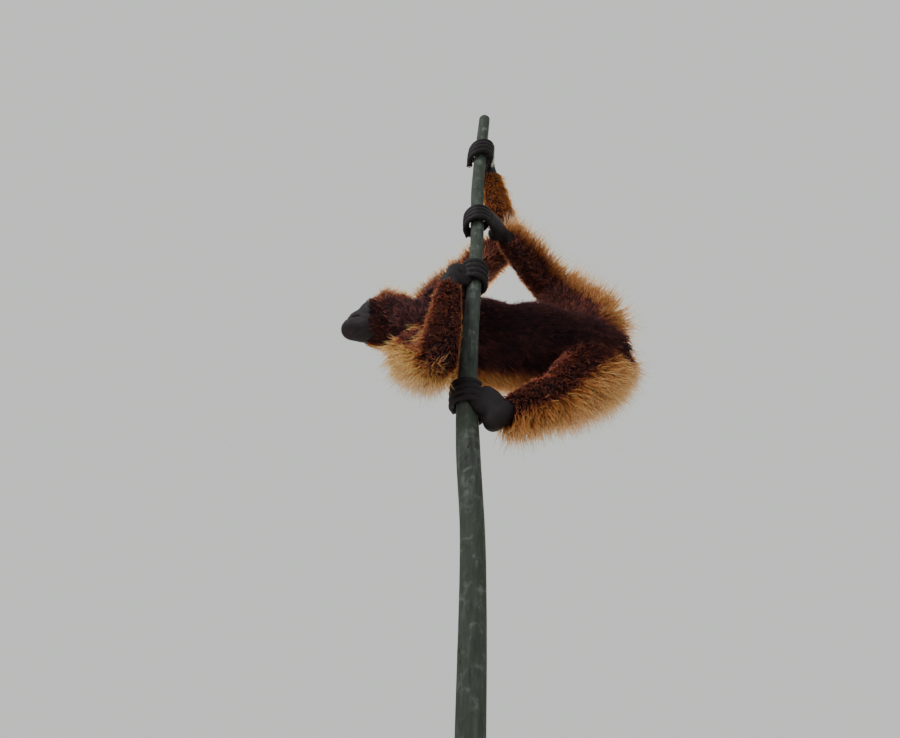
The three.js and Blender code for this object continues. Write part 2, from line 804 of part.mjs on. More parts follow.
const group = new THREE.Group();
const grownCores = pieces.map(({ build, cutter = build }) => cutter(gap));
const grownCoats = [];
pieces.forEach(({ name, colour, build, coat, inSocket }, i) => {
  let solid = inSocket ? build(0) : cutBy(build(0), grownCores.slice(0, i));
  if (coat) {
    const others = grownCores.filter((core, j) => j !== i);
    solid = solid.add(cutBy(coat(0), [...others, ...grownCoats]));
    grownCoats.push(coat(gap));
  }
  const whole = largest(solid.simplify(finest));
  group.add(mesh(name, whole, new THREE.MeshStandardMaterial(colours[colour])));
});

export default group;
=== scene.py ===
import math

import bmesh
import bpy
import numpy as np
from mathutils import Matrix, Vector, kdtree


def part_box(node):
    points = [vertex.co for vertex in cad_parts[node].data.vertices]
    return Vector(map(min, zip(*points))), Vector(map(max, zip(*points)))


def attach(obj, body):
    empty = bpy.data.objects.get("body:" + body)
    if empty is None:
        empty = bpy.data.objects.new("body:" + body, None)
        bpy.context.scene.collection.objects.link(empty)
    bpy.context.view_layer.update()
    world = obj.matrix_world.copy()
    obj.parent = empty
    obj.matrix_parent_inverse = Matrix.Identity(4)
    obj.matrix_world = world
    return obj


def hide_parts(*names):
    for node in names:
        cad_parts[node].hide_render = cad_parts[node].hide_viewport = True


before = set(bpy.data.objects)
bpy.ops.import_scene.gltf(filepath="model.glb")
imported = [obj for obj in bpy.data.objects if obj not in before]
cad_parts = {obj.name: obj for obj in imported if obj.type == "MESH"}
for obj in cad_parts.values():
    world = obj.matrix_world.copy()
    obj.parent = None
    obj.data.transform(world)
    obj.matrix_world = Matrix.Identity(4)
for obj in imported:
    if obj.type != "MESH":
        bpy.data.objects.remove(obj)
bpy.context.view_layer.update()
print("frame loaded")

mm = 0.001
down = np.array([0.0, 0.0, -1.0])


def place(x, y, z):  # millimetres to metres
    return Vector((x * mm, y * mm, z * mm))


def unit(a):  # rows of an array made one long
    return a / np.maximum(np.linalg.norm(a, axis=-1, keepdims=True), 1e-9)


def smoothStep(low, high, value):
    t = np.clip((value - low) / (high - low), 0, 1)
    return t * t * (3 - 2 * t)


def bell(value, width):
    return np.exp(-(value / width) ** 2)


def between(values, share):  # what evenly spaced values come to at a share of the way along them
    return np.interp(share, np.linspace(0, 1, len(values)), values)


# Skeleton of the ape, as in the solids: head towards -X, belly to the trunk, left side up
joints = {
    "neckBase": place(-199, 89, 1452),
    "headCentre": place(-331, 143, 1532),
    "shoulderLeft": place(-177, 118, 1586),
    "shoulderRight": place(-211, 29, 1314),
    "elbowLeft": place(18, 53, 1833),
    "elbowRight": place(-154, -184, 1083),
    "wristLeft": place(-56, -34, 2135),
    "wristRight": place(-144, -128, 1408),
    "hipLeft": place(250, 97, 1496),
    "hipRight": place(229, 61, 1332),
    "kneeLeft": place(154, 137, 1722),
    "kneeRight": place(120, -50, 1137),
    "ankleLeft": place(0, -32, 1750),
    "ankleRight": place(-21, -132, 988),
}
headForward = Vector((-0.985, -0.106, -0.133)).normalized()
headUp = Vector((-0.16, 0.33, 0.93))
headLeft = headUp.cross(headForward).normalized()
headCrown = headForward.cross(headLeft).normalized()
headAxes = np.array([headForward, headLeft, headCrown])
headOrigin = np.array(joints["headCentre"])


def curvePoint(points, share):  # a smooth curve through points, share from 0 to 1
    spans = len(points) - 1
    t = min(max(share, 0), 1) * spans
    i = min(int(t), spans - 1)
    t -= i
    a, b = Vector(points[i]), Vector(points[i + 1])
    before = Vector(points[i - 1]) if i else a * 2 - b
    after = Vector(points[i + 2]) if i + 2 <= spans else b * 2 - a
    out = 2 * a + (b - before) * t
    out += (2 * before - 5 * a + 4 * b - after) * t * t
    out += (3 * a - before - 3 * b + after) * t ** 3
    return out / 2


def curveTangent(points, share):
    return (curvePoint(points, share + 0.01) - curvePoint(points, share - 0.01)).normalized()


# Meshes

def newMesh(name, bm, smooth=True):
    mesh = bpy.data.meshes.new(name)
    bm.to_mesh(mesh)
    bm.free()
    for polygon in mesh.polygons:
        polygon.use_smooth = smooth
    return mesh


def newObject(name, data):
    made = bpy.data.objects.new(name, data)
    bpy.context.scene.collection.objects.link(made)
    return made


def newPiece(name, mesh, material=None):
    piece = newObject(name, mesh)
    if material:
        mesh.materials.append(material)
    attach(piece, "root")
    return piece


def applied(mesh, *modifiers, flesh=()):  # the mesh with these modifiers' results, flesh is a group's weights
    piece = newObject("work", mesh)
    if len(flesh):
        group = piece.vertex_groups.new(name="flesh")
        for i in np.nonzero(flesh)[0]:
            group.add([int(i)], float(flesh[i]), "REPLACE")
    for kind, settings in modifiers:
        modifier = piece.modifiers.new(kind, kind)
        for key, value in settings.items():
            setattr(modifier, key, value)
    bpy.context.view_layer.update()
    shown = piece.evaluated_get(bpy.context.evaluated_depsgraph_get())
    result = bpy.data.meshes.new_from_object(shown)
    bpy.data.objects.remove(piece)
    bpy.data.meshes.remove(mesh)
    return result


def extruded(bm, sides, stations):  # a ring drawn on from station to station, closed at both ends
    ring = bmesh.ops.create_circle(bm, cap_ends=True, segments=sides, radius=1, matrix=stations[0])["verts"]
    edges = list({e for v in ring for e in v.link_edges})
    for before, after in zip(stations, stations[1:]):
        made = bmesh.ops.extrude_edge_only(bm, edges=edges)["geom"]
        ring = [g for g in made if isinstance(g, bmesh.types.BMVert)]
        edges = [g for g in made if isinstance(g, bmesh.types.BMEdge)]
        bmesh.ops.transform(bm, matrix=after @ before.inverted(), verts=ring)
    bmesh.ops.contextual_create(bm, geom=edges)


def tube(bm, line, wide, deep, lateral, steps=16, sides=20, caps=(0.02, 0.02)):
    # Rings along a line, rounded off at both ends
    girth = [Vector((w, d, 0)) for w, d in zip(wide, deep)]
    lateral = Vector(lateral)

    def station(share, push=0.0, scale=1.0):
        along = curveTangent(line, share)
        front = along.cross(lateral).normalized()
        side = front.cross(along).normalized()
        size = curvePoint(girth, share) * scale
        turned = Matrix((side * size.x, front * size.y, along)).transposed().to_4x4()
        return Matrix.Translation(curvePoint(line, share) + along * push) @ turned

    ends = [math.radians(a) for a in (80, 58, 30)]
    stations = [station(0, -math.sin(a) * caps[0], math.cos(a)) for a in ends]
    stations += [station(i / steps) for i in range(steps + 1)]
    stations += [station(1, math.sin(a) * caps[1], math.cos(a)) for a in reversed(ends)]
    extruded(bm, sides, stations)


def lump(bm, centre, axes, radii, columns=20, rows=14):  # a stretched ball, axes as rows
    turned = Matrix([Vector(a) * r for a, r in zip(axes, radii)]).transposed().to_4x4()
    placed = Matrix.Translation(centre) @ turned
    bmesh.ops.create_uvsphere(bm, u_segments=columns, v_segments=rows, radius=1, matrix=placed)


worldAxes = ((1, 0, 0), (0, 1, 0), (0, 0, 1))


# Perch: a slim trunk whose centre line wanders a little
perch = {
    "y": -100,
    "line": [(-60, 252), (-62, 520), (-68, 740), (-83, 930), (-90, 1120), (-85, 1400),
             (-82, 1620), (-87, 1890), (-81, 2130), (-74, 2330)],
    "radii": [23.8, 23.8, 23.8, 24.8, 22.3, 18.8, 19.1, 19.4, 19.4, 19.0],
}
perchLine = [place(x, perch["y"], z) for x, z in perch["line"]]
perchGirth = [place(radius, 0, 0) for radius in perch["radii"]]


def perchAt(height):  # centre and radius of the trunk at a height in metres
    low, high = perchLine[0].z, perchLine[-1].z
    share = (height - low) / (high - low)
    for _ in range(4):
        share += (height - curvePoint(perchLine, share).z) / (high - low)
    return curvePoint(perchLine, share), curvePoint(perchGirth, share).x


# Body: lengths of flesh as stations of half sizes, and what the coat does on each
torsoLine = [place(-212, 92, 1456), place(-150, 84, 1450), place(-60, 80, 1432), place(60, 78, 1416),
             place(155, 80, 1410), place(240, 84, 1410), place(292, 92, 1410)]
shoulderAxis = (joints["shoulderLeft"] - joints["shoulderRight"]).normalized()


def limb(start, end, lateral, wide, deep, coat):
    line = [joints[start], joints[end]]
    return {"line": line, "lateral": lateral, "wide": wide, "deep": deep, "coat": coat}


thighSize = {"wide": [70, 58, 46, 37], "deep": [70, 56, 45, 36]}
shinSize = {"wide": [36, 37, 31, 23], "deep": [35, 38, 30, 22]}
# warm sets how orange and pale each coat is; it is kept low on the torso, neck and right upper arm so that
# the chest between the arms stays dark as painted shade
bodyParts = {
    "torso": {
        "line": torsoLine, "lateral": shoulderAxis, "caps": (0.05, 0.045), "sides": 28,
        "wide": [92, 124, 124, 106, 108, 107, 80], "deep": [70, 93, 98, 86, 90, 88, 66],
        "coat": dict(long=104, short=34, towards=(0.1, 0.97, -0.12), lie=1, lift=0.5, hang=0.45, warm=0),
    },
    "neck": {
        "line": [joints["neckBase"], place(-262, 116, 1498), joints["headCentre"]], "lateral": (0, 0.3, 0.95),
        "wide": [78, 68, 60], "deep": [70, 64, 60], "caps": (0.02, 0.02), "sides": 24,
        "coat": dict(long=60, short=28, towards=(0.3, 0.9, -0.1), lie=1, lift=0.4, hang=0.4, warm=0.02),
    },
    "upperArmLeft": limb(
        "shoulderLeft", "elbowLeft", (0, 1, 0), [56, 49, 43, 35], [54, 47, 41, 34],
        dict(long=78, short=44, towards=(-0.55, 0.55, 0.35), lie=0.7, lift=0.55, hang=0.3, warm=0.12)),
    "forearmLeft": limb(
        "elbowLeft", "wristLeft", (0, 1, 0), [35, 37, 32, 26], [34, 36, 31, 24],
        dict(long=50, short=22, towards=(0.9, 0.35, 0.1), lie=-0.9, lift=0.4, hang=0.15, warm=0.42)),
    "upperArmRight": limb(
        "shoulderRight", "elbowRight", (1, 0, 0), [52, 42, 37, 33], [50, 41, 36, 32],
        dict(long=92, short=26, towards=(-0.5, 0.6, -0.5), lie=0.7, lift=0.62, hang=0.4, warm=0.06)),
    "forearmRight": limb(
        "elbowRight", "wristRight", (1, 0, 0), [33, 34, 28, 20], [32, 33, 27, 18],
        dict(long=36, short=20, towards=(-0.9, -0.3, 0), lie=-0.9, lift=0.3, hang=0.3, warm=0.14)),
    "thighLeft": limb("hipLeft", "kneeLeft", (0, 1, 0), **thighSize, coat=dict(
        long=126, short=26, towards=(0.85, 0.25, 0.35), lie=0.5, lift=0.8, hang=0.12, warm=0.1)),
    "shinLeft": limb("kneeLeft", "ankleLeft", (0, 1, 0), **shinSize, coat=dict(
        long=92, short=20, towards=(0.6, 0.2, 0.75), lie=0.4, lift=0.75, hang=0.05, warm=0.12)),
    "thighRight": limb("hipRight", "kneeRight", (0, 1, 0), **thighSize, coat=dict(
        long=108, short=26, towards=(0.6, 0.45, -0.65), lie=0.5, lift=0.72, hang=0.3, warm=0.1)),
    "shinRight": limb("kneeRight", "ankleRight", (0, 1, 0), **shinSize, coat=dict(
        long=82, short=20, towards=(0.3, 0.3, -0.85), lie=0.5, lift=0.65, hang=0.4, warm=0.12)),
}
muscles = [  # centre and half sizes of masses that the plain lengths lack
    ((-172, 112, 1572), (56, 50, 52)),  # deltoid left
    ((-202, 34, 1322), (54, 50, 52)),  # deltoid right
    ((-140, 20, 1505), (70, 36, 56)),  # chest left
    ((-150, 2, 1392), (70, 36, 52)),  # chest right
    ((90, 24, 1412), (120, 52, 88)),  # belly
    ((262, 116, 1470), (56, 54, 56)),  # buttock left
    ((250, 96, 1352), (56, 54, 54)),  # buttock right
]


# Hands and feet: palm or sole, heel, and digits that wind round the trunk
grips = {
    "handLeft": dict(
        limb=("elbowLeft", "wristLeft"), centre=2106, start=15, sweep=-225, lean=-48, pitch=20, loose=5,
        wide=41, thick=18, digit=9.6, tip=7.2, heel=(4, 0, 0), heelRadius=23, thumb=(60, 90, -24)),
    "handRight": dict(
        limb=("elbowRight", "wristRight"), centre=1468, start=215, sweep=225, lean=-10, pitch=19, loose=0,
        wide=37, thick=16, digit=9.2, tip=7, heel=(-4, 0, 0), heelRadius=22, thumb=(170, -110, -26)),
    "footLeft": dict(
        limb=("kneeLeft", "ankleLeft"), centre=1718, start=-35, sweep=-200, lean=-22, pitch=16, loose=6,
        wide=34, thick=19, digit=8.2, tip=6.6, heel=(-27, -14, -10), heelRadius=22, thumb=(30, 110, -30)),
    "footRight": dict(
        limb=("kneeRight", "ankleRight"), centre=1052, start=-48, sweep=-185, lean=4, pitch=16.5, loose=1,
        wide=34, thick=18, digit=8.2, tip=6.4, heel=(-14, 6, -12), heelRadius=22, thumb=(20, 80, -26)),
}
digitCount = 4
fingerTips = []  # tip, way the digit points, way out from the trunk and size, for the nails
gripSpots = []  # places along every digit, palm and sole, with how near them the skin is bare
digitCores = []  # the middle line and radii of every digit, to part them cleanly


def winding(height, start, sweep, rise, clearance, count):
    points = []
    for i in range(count):
        share = i / (count - 1)
        turn = math.radians(start + sweep * share)
        z = (height + rise * share) * mm
        centre, radius = perchAt(z)
        reach = radius + clearance(share) * mm
        points.append(Vector((centre.x + math.cos(turn) * reach, centre.y + math.sin(turn) * reach, z)))
    return points


def digit(bm, line, thickness, tip):
    # Three knuckles swell a little along the digit
    swells = [1.12, 0.93, 1.08, 0.9, 1.04, 0.9, 0.96]
    radii = [(thickness + (tip - thickness) * i / 6) * swell * mm for i, swell in enumerate(swells)]
    tube(bm, line, radii, radii, (0, 0, 1), steps=26, sides=12, caps=(tip * mm, tip * 1.1 * mm))
    gripSpots.extend((curvePoint(line, i / 11), thickness * 1.7 * mm) for i in range(12))
    girth = [Vector((radius, 0, 0)) for radius in radii]
    cores = [(curvePoint(line, i / 24), curvePoint(girth, i / 24).x) for i in range(25)]
    digitCores.append((np.array([core[0] for core in cores]), np.array([core[1] for core in cores])))
    centre, _ = perchAt(line[-1].z)
    out = (line[-1] - centre).normalized()
    fingerTips.append((line[-1], (line[-1] - line[-2]).normalized(), Vector((out.x, out.y, 0)), tip * mm))


def gripper(bm, grip):
    middle, wrist = (joints[name] for name in grip["limb"])

    def reachOut(share):
        return grip["digit"] + 0.4 + grip["loose"] - 1.2 * share + 1.6 * abs(math.sin(share * 3 * math.pi))

    knuckles = Vector()
    for i in range(digitCount):
        height = grip["centre"] + (i - (digitCount - 1) / 2) * grip["pitch"]
        outer = 0.9 if i in (0, digitCount - 1) else 1
        line = winding(height, grip["start"], grip["sweep"] * outer, grip["lean"], reachOut, 9)
        knuckles += line[0] / digitCount
        digit(bm, line, grip["digit"] * (0.96, 1.02, 1, 0.92)[i], grip["tip"])
    inPalm = wrist.lerp(knuckles, 0.5)
    centre, radius = perchAt(inPalm.z)
    away = Vector((inPalm.x - centre.x, inPalm.y - centre.y, 0))
    clear = max(away.length, radius + (grip["thick"] + 1) * mm)
    inPalm = Vector((centre.x, centre.y, (wrist.z + knuckles.z) / 2)) + away.normalized() * clear
    palm = [wrist.lerp(middle, 0.16), wrist, inPalm, knuckles]
    wide = [0.022, 0.021, grip["wide"] * mm, grip["wide"] * mm * 0.98]
    deep = [0.02, 0.018, grip["thick"] * mm, (grip["digit"] + 1.5) * mm]
    tube(bm, palm, wide, deep, (0, 0, 1), caps=(0.01, 0.008))
    gripSpots.extend((curvePoint(palm, 0.45 + 0.55 * i / 7), grip["wide"] * 1.15 * mm) for i in range(8))
    heel = grip["heelRadius"] * mm
    gripSpots.append((wrist + place(*grip["heel"]), heel * 1.25))
    lump(bm, wrist + place(*grip["heel"]), worldAxes, (heel, heel, heel))
    start, sweep, rise = grip["thumb"]
    thumb = winding(inPalm.z / mm, start, sweep, rise, reachOut, 6)
    digit(bm, [inPalm] + thumb, grip["digit"] + 1, grip["tip"] + 0.8)


# Head: soft masses melted together, in head axes and millimetres
headMasses = [
    ((-18, 0, 24), (76, 66, 66)),  # braincase
    ((44, 0, 26), (29, 43, 22)),  # brow
    ((38, 38, -14), (33, 26, 38)),  # cheek left
    ((38, -38, -14), (33, 26, 38)),  # cheek right
    ((68, 0, -22), (35, 37, 29)),  # muzzle
    ((82, 0, -34), (24, 32, 17)),  # upper lip
    ((56, 0, -66), (50, 37, 29)),  # jaw
    ((97, 0, -68), (25, 28, 20)),  # lower lip
    ((-46, 0, -18), (42, 52, 50)),  # nape
    ((4, 0, -58), (46, 44, 38)),  # throat
]
headSeed = np.array([22.0, 0.0, -16.0])
headBlend = 7


def headField(points):
    total = np.zeros(len(points))
    for centre, size in headMasses:
        size = np.array(size, float)
        reach = np.linalg.norm((points - np.array(centre)) / size, axis=1)
        total += np.exp(-(reach - 1) * np.cbrt(size.prod()) / headBlend)
    return -np.log(np.maximum(total, 1e-30)) * headBlend


def headSurface(directions):  # where rays from the head's seed leave it
    inside = np.zeros(len(directions))
    outside = np.full(len(directions), 180.0)
    for _ in range(22):
        middle = (inside + outside) / 2
        within = headField(headSeed + directions * middle[:, None]) < 0
        inside = np.where(within, middle, inside)
        outside = np.where(within, outside, middle)
    return headSeed + directions * inside[:, None]


def toHead(points):
    return (points - headOrigin) @ headAxes.T / mm


def fromHead(points):
    return points * mm @ headAxes + headOrigin


def headSpot(x, y, z):
    return Vector(fromHead(np.array([x, y, z])))


def headForm(bm):
    made = bmesh.ops.create_uvsphere(bm, u_segments=56, v_segments=40, radius=1)["verts"]
    directions = unit(np.array([v.co for v in made]))
    for vert, spot in zip(made, fromHead(headSurface(directions))):
        vert.co = spot


def earForm(bm, hand):
    # A rim that curls round a shallow bowl, with a small lobe
    rim = [(6, 66, 22), (-2, 70, 27), (-14, 73, 20), (-19, 74, 4), (-12, 72, -12), (-2, 68, -19)]
    line = [headSpot(x, y * hand, z) for x, y, z in rim]
    size = [0.0035, 0.0046, 0.005, 0.0048, 0.0045, 0.005]
    tube(bm, line, size, size, headLeft, steps=18, sides=10, caps=(0.004, 0.005))
    lump(bm, headSpot(-7, 65 * hand, 3), headAxes, (0.013, 0.005, 0.02))


def skinBody():
    parts = []
    for part in bodyParts.values():
        bm = bmesh.new()
        wide = [w * mm for w in part["wide"]]
        deep = [d * mm for d in part["deep"]]
        line = part["line"]
        if len(line) == 2:
            line = [line[0].lerp(line[1], i / (len(wide) - 1)) for i in range(len(wide))]
        sides, caps = part.get("sides", 20), part.get("caps", (0.03, 0.02))
        tube(bm, line, wide, deep, part["lateral"], sides=sides, caps=caps)
        parts.append(bm)
    for centre, size in muscles:
        bm = bmesh.new()
        lump(bm, place(*centre), worldAxes, [s * mm for s in size])
        parts.append(bm)
    for grip in grips.values():
        bm = bmesh.new()
        gripper(bm, grip)
        parts.append(bm)
    bm = bmesh.new()
    headForm(bm)
    for hand in (1, -1):
        earForm(bm, hand)
    parts.append(bm)
    whole = bmesh.new()
    for bm in parts:
        bmesh.ops.recalc_face_normals(bm, faces=bm.faces)
        whole.from_mesh(newMesh("part", bm))
    return newMesh("skin", whole)


# Where a point lies on the body: its nearest lengths, and how the coat lies there
def nearLine(points, samples):
    # distance, nearest place on the line, share along it and the line's direction
    best = np.full(len(points), 1e9)
    spot = np.zeros_like(points)
    share = np.zeros(len(points))
    along = np.zeros_like(points)
    count = len(samples) - 1
    for i in range(count):
        a, b = samples[i], samples[i + 1]
        span = b - a
        t = np.clip((points - a) @ span / (span @ span), 0, 1)
        near = a + t[:, None] * span
        distance = np.linalg.norm(points - near, axis=1)
        closer = distance < best
        best = np.where(closer, distance, best)
        spot[closer] = near[closer]
        share = np.where(closer, (i + t) / count, share)
        along[closer] = span / np.linalg.norm(span)
    return best, spot, share, along


def lineSamples(line, count=10):
    return np.array([curvePoint(line, i / (count - 1)) for i in range(count)])


fieldLines, fieldGirths = {}, {}
for name, part in bodyParts.items():
    fieldLines[name] = lineSamples(part["line"], 12 if len(part["line"]) > 2 else 2)
    fieldGirths[name] = np.array([min(w, d) * mm for w, d in zip(part["wide"], part["deep"])])
perchSamples = lineSamples(perchLine, 20)
coatBlend = 0.016  # how softly one length's coat gives way to the next, in metres
headCoat = {"long": 78, "brow": 14, "beard": 26, "lift": 0.32, "hang": 0.12, "warm": 0.1}
faceEdge = {"side": 64, "up": 63, "down": 80}  # where the bare face ends, in degrees round the head's seed
earMiddle = (-8, 71, 6)


def earReach(onHead):  # how far a place on the head lies from the middle of the nearer ear
    forward, side, height = earMiddle
    apart = [onHead[:, 0] - forward, np.abs(onHead[:, 1]) - side, (onHead[:, 2] - height) * 0.8]
    return np.linalg.norm(np.stack(apart, axis=1), axis=1)


def faceOval(points):  # 0 at the middle of the bare face, 1 at its edge
    way = unit(toHead(points) - headSeed)
    side = np.degrees(np.arctan2(way[:, 1], np.maximum(way[:, 0], 0.05))) / faceEdge["side"]
    rise = np.degrees(np.arcsin(np.clip(way[:, 2], -1, 1)))
    tall = np.where(rise > 0, rise / faceEdge["up"], rise / faceEdge["down"]) + 2 * (way[:, 0] < 0)
    return np.hypot(side, tall)


def coatAt(points, normals):
    # Each length's say falls off with distance, so that lie and length turn smoothly
    count = len(points)
    names = list(bodyParts) + ["head"]
    near, long, lift, hang = (np.zeros((len(names), count)) for _ in range(4))
    lie = np.zeros((len(names), count, 3))
    own = np.array([part["coat"]["warm"] for part in bodyParts.values()] + [headCoat["warm"]])
    for row, name in enumerate(bodyParts):
        distance, _, share, along = nearLine(points, fieldLines[name])
        coat = bodyParts[name]["coat"]
        towards = unit(np.array([coat["towards"]]))[0]
        favour = normals @ towards
        near[row] = distance - between(fieldGirths[name], share)
        lie[row] = along * coat["lie"] + towards * 0.35
        long[row] = coat["short"] + (coat["long"] - coat["short"]) * smoothStep(-0.3, 0.62, favour)
        lift[row] = coat["lift"] * (0.55 + 0.45 * smoothStep(-0.6, 0.5, favour))
        hang[row] = coat["hang"]
    onHead = toHead(points)
    oval = faceOval(points)
    near[-1] = headField(onHead) * mm
    outward = 0.35 * np.sign(onHead[:, 1]) * smoothStep(10, 60, np.abs(onHead[:, 1]))
    upward = 0.25 - 0.9 * smoothStep(20, -60, onHead[:, 2])
    lie[-1] = np.stack([np.full(count, -0.9), outward, upward], axis=1) @ headAxes
    beard = smoothStep(-20, -60, onHead[:, 2])
    reach = headCoat["brow"] + (headCoat["long"] - headCoat["brow"]) * smoothStep(1.0, 1.55, oval)
    long[-1] = reach + (headCoat["beard"] - reach) * beard
    lift[-1] = headCoat["lift"]
    hang[-1] = headCoat["hang"]
    weight = np.exp(-(near - near.min(0)) / coatBlend)
    weight /= weight.sum(0)
    blended = {
        "lie": unit((weight[:, :, None] * lie).sum(0)),
        "long": (weight * long).sum(0),
        "lift": (weight * lift).sum(0),
        "hang": (weight * hang).sum(0),
        "part": np.array(names)[weight.argmax(0)],
        "headShare": weight[-1],
        "own": own @ weight,
    }
    blended["bare"] = bareness(points, blended, oval, onHead)
    blended["warm"] = coatWarmthAndPaintedLight(normals, blended, onHead)
    return blended


def bareness(points, body, oval, onHead):
    # The face, ears, hands and feet are bare
    face = smoothStep(0.3, 0.6, body["headShare"]) * (1 - smoothStep(0.92, 1.12, oval))
    ears = 1 - smoothStep(15, 19, earReach(onHead))
    grip = np.zeros(len(points))
    for spot, reach in gripSpots:
        apart = np.linalg.norm(points - np.array(spot), axis=1) / reach
        grip = np.maximum(grip, 1 - smoothStep(0.85, 1.1, apart))
    return np.clip(np.maximum.reduce([face, ears, grip]), 0, 1)


def coatWarmthAndPaintedLight(normals, body, onHead):
    # Orange where the coat faces out on the back, its own colour; paler where it is long, a painted glow of
    # light through the fringe; near black-brown below the chest and inside the limbs, painted shade
    back = smoothStep(-0.2, 0.75, normals @ np.array([0.15, 0.95, 0.2]))
    # Painted glow: long coat is made paler, standing for light shining through the fringe
    fringeGlow = smoothStep(34, 90, body["long"])
    crown = body["headShare"] * smoothStep(-10, 40, onHead[:, 2])
    return np.clip(body["own"] + 0.34 * back + 0.48 * fringeGlow + 0.2 * crown, 0, 1)


# Skin

skinGrain = {"voxel": 0.004, "keep": 0.42}
eyePlace = {"forward": 57, "side": 27, "height": 12, "radius": 10}
lidShape = {"wide": 11.5, "upper": 3.9, "lower": 3.3, "over": 1.3}
mouthPlace = {"height": -49, "wide": 37, "centre": 104, "long": 62, "open": 3.6, "deep": 13}
nosePlace = {"height": -12, "side": 7.6, "hole": 3.1}


def readMesh(items, key, wide, kind=float):
    values = np.empty(len(items) * wide, kind)
    items.foreach_get(key, values)
    return values.reshape(-1, wide)


def readVectors(mesh, key="co"):
    return readMesh(mesh.vertices, key, 3)


def addUv(mesh, uv):
    layer = mesh.uv_layers.new(name="OFBake")
    layer.uv.foreach_set("vector", uv.astype(np.float32).ravel())


def headShape(onHead):  # folds, sockets, lids, nostrils and lips, on points of the head's surface
    step = 0.5
    slope = np.stack([headField(onHead + np.eye(3)[i] * step) - headField(onHead) for i in range(3)], axis=1)
    out = unit(slope)
    x, y, z = onHead.T
    front = smoothStep(0.05, 0.35, out[:, 0])
    away = np.abs(y)
    a, b = away - eyePlace["side"], z - eyePlace["height"]
    around = np.hypot(a, b)
    push = np.zeros(len(x))
    # Socket, brow and the bridge between the eyes
    push -= 3.4 * bell(around, 15) * front
    push += 2.2 * bell(z - 31, 7) * bell(away - 20, 22) * front
    push -= 2.2 * bell(away, 9) * bell(z - 8, 12) * front
    # Bags under the eyes and folds that run round them to the cheek
    turn = np.arctan2(b, a)
    under = smoothStep(0.3, -0.5, np.sin(turn)) * front
    for reach, deep in ((15.5, 0.9), (19.5, 0.8), (24, 0.6), (29, 0.45)):
        ring = reach + 1.6 * np.sin(turn * 2 + reach)
        push -= deep * bell(around - ring, 0.9) * under
    push += 1.3 * bell(around - 17.2, 2.6) * under
    # Lines across the forehead, and a crease over each lid
    for height, deep in ((38, 0.5), (44, 0.55), (50, 0.4)):
        wave = height + 2.5 * np.cos(away / 11)
        push -= deep * bell(z - wave, 1.0) * bell(away, 34) * front
    # Nose: a low ridge, two wings and the nostrils
    muzzle = smoothStep(64, 92, x)
    ridge = bell(away, 5.5) * smoothStep(4, -8, z) * smoothStep(-24, -12, z)
    push += 2.4 * ridge * smoothStep(66, 88, x)
    holeY, holeZ = away - nosePlace["side"], z - nosePlace["height"]
    wing = np.hypot(holeY, holeZ)
    push += 2.6 * bell(wing - 6, 2.4) * muzzle * front
    tilted = np.hypot(holeY + 0.35 * holeZ, holeZ * 0.8) / nosePlace["hole"]
    push -= 7 * (1 - smoothStep(0.55, 1.15, tilted)) * muzzle
    push -= 1.5 * bell(away, 1.6) * smoothStep(-33, -24, z) * smoothStep(-15, -20, z) * muzzle
    # Lips: a slit that closes towards its corners, with a full roll above and below
    shut = 1 - ((x - mouthPlace["centre"]) / mouthPlace["long"]) ** 2 - (y / (mouthPlace["wide"] + 6)) ** 2
    gape = mouthPlace["open"] * np.sqrt(np.clip(shut, 0, 1))
    fromSlit = np.abs(z - mouthPlace["height"])
    mouthSide = smoothStep(36, 52, x) * smoothStep(0.0, 0.12, shut)
    push -= mouthPlace["deep"] * (1 - smoothStep(0.5, 1.25, fromSlit / np.maximum(gape, 0.9))) * mouthSide
    push += 1.9 * bell(fromSlit - gape - 2.6, 2.2) * mouthSide
    push -= 1.0 * bell(fromSlit - gape - 8, 2.4) * mouthSide
    # Fine upright wrinkles over the lips, and a fold from the nose down past the mouth's corner
    lipBand = bell(fromSlit - 9, 7) * smoothStep(72, 92, x)
    push -= 0.42 * np.abs(np.sin(np.degrees(np.arctan2(y, x - 40)) * 0.42)) ** 6 * lipBand
    fold = away - (15 + 0.55 * (nosePlace["height"] - z))
    beside = smoothStep(-44, -30, z) * smoothStep(-4, -12, z)
    push -= 1.3 * bell(fold, 2.2) * beside * smoothStep(56, 80, x)
    placed = onHead + out * push[:, None]
    # Lids: skin that wraps the ball, parted in an almond, and tucked behind it inside that
    tall = np.where(b > 0, lidShape["upper"], lidShape["lower"])
    almond = (a / lidShape["wide"]) ** 2 + ((b - 0.12 * a) / tall) ** 2
    ball = eyePlace["radius"]
    shell = ball + lidShape["over"] + 0.7 * bell(almond - 1.35, 0.3)
    shell = shell + (ball - 4.5 - shell) * (1 - smoothStep(0.86, 1.06, almond))
    lid = eyePlace["forward"] + np.sqrt(np.clip(shell ** 2 - around ** 2, 1.0, None))
    wrap = (1 - smoothStep(10.2, 13.5, around)) * (x > 40)
    placed[:, 0] = placed[:, 0] + (lid - placed[:, 0]) * wrap
    return placed


def features(onHead):
    # The eyes with their folds, the nostrils and the mouth, which need the finest skin
    x, away, z = onHead[:, 0], np.abs(onHead[:, 1]), onHead[:, 2]
    eyes = (np.hypot(away - eyePlace["side"], z - eyePlace["height"]) < 28) & (x > 30)
    nose = (np.hypot(away - nosePlace["side"], z - nosePlace["height"]) < 12) & (x > 60)
    mouth = (np.abs(z - mouthPlace["height"]) < 10) & (x > 44)
    return eyes | nose | mouth


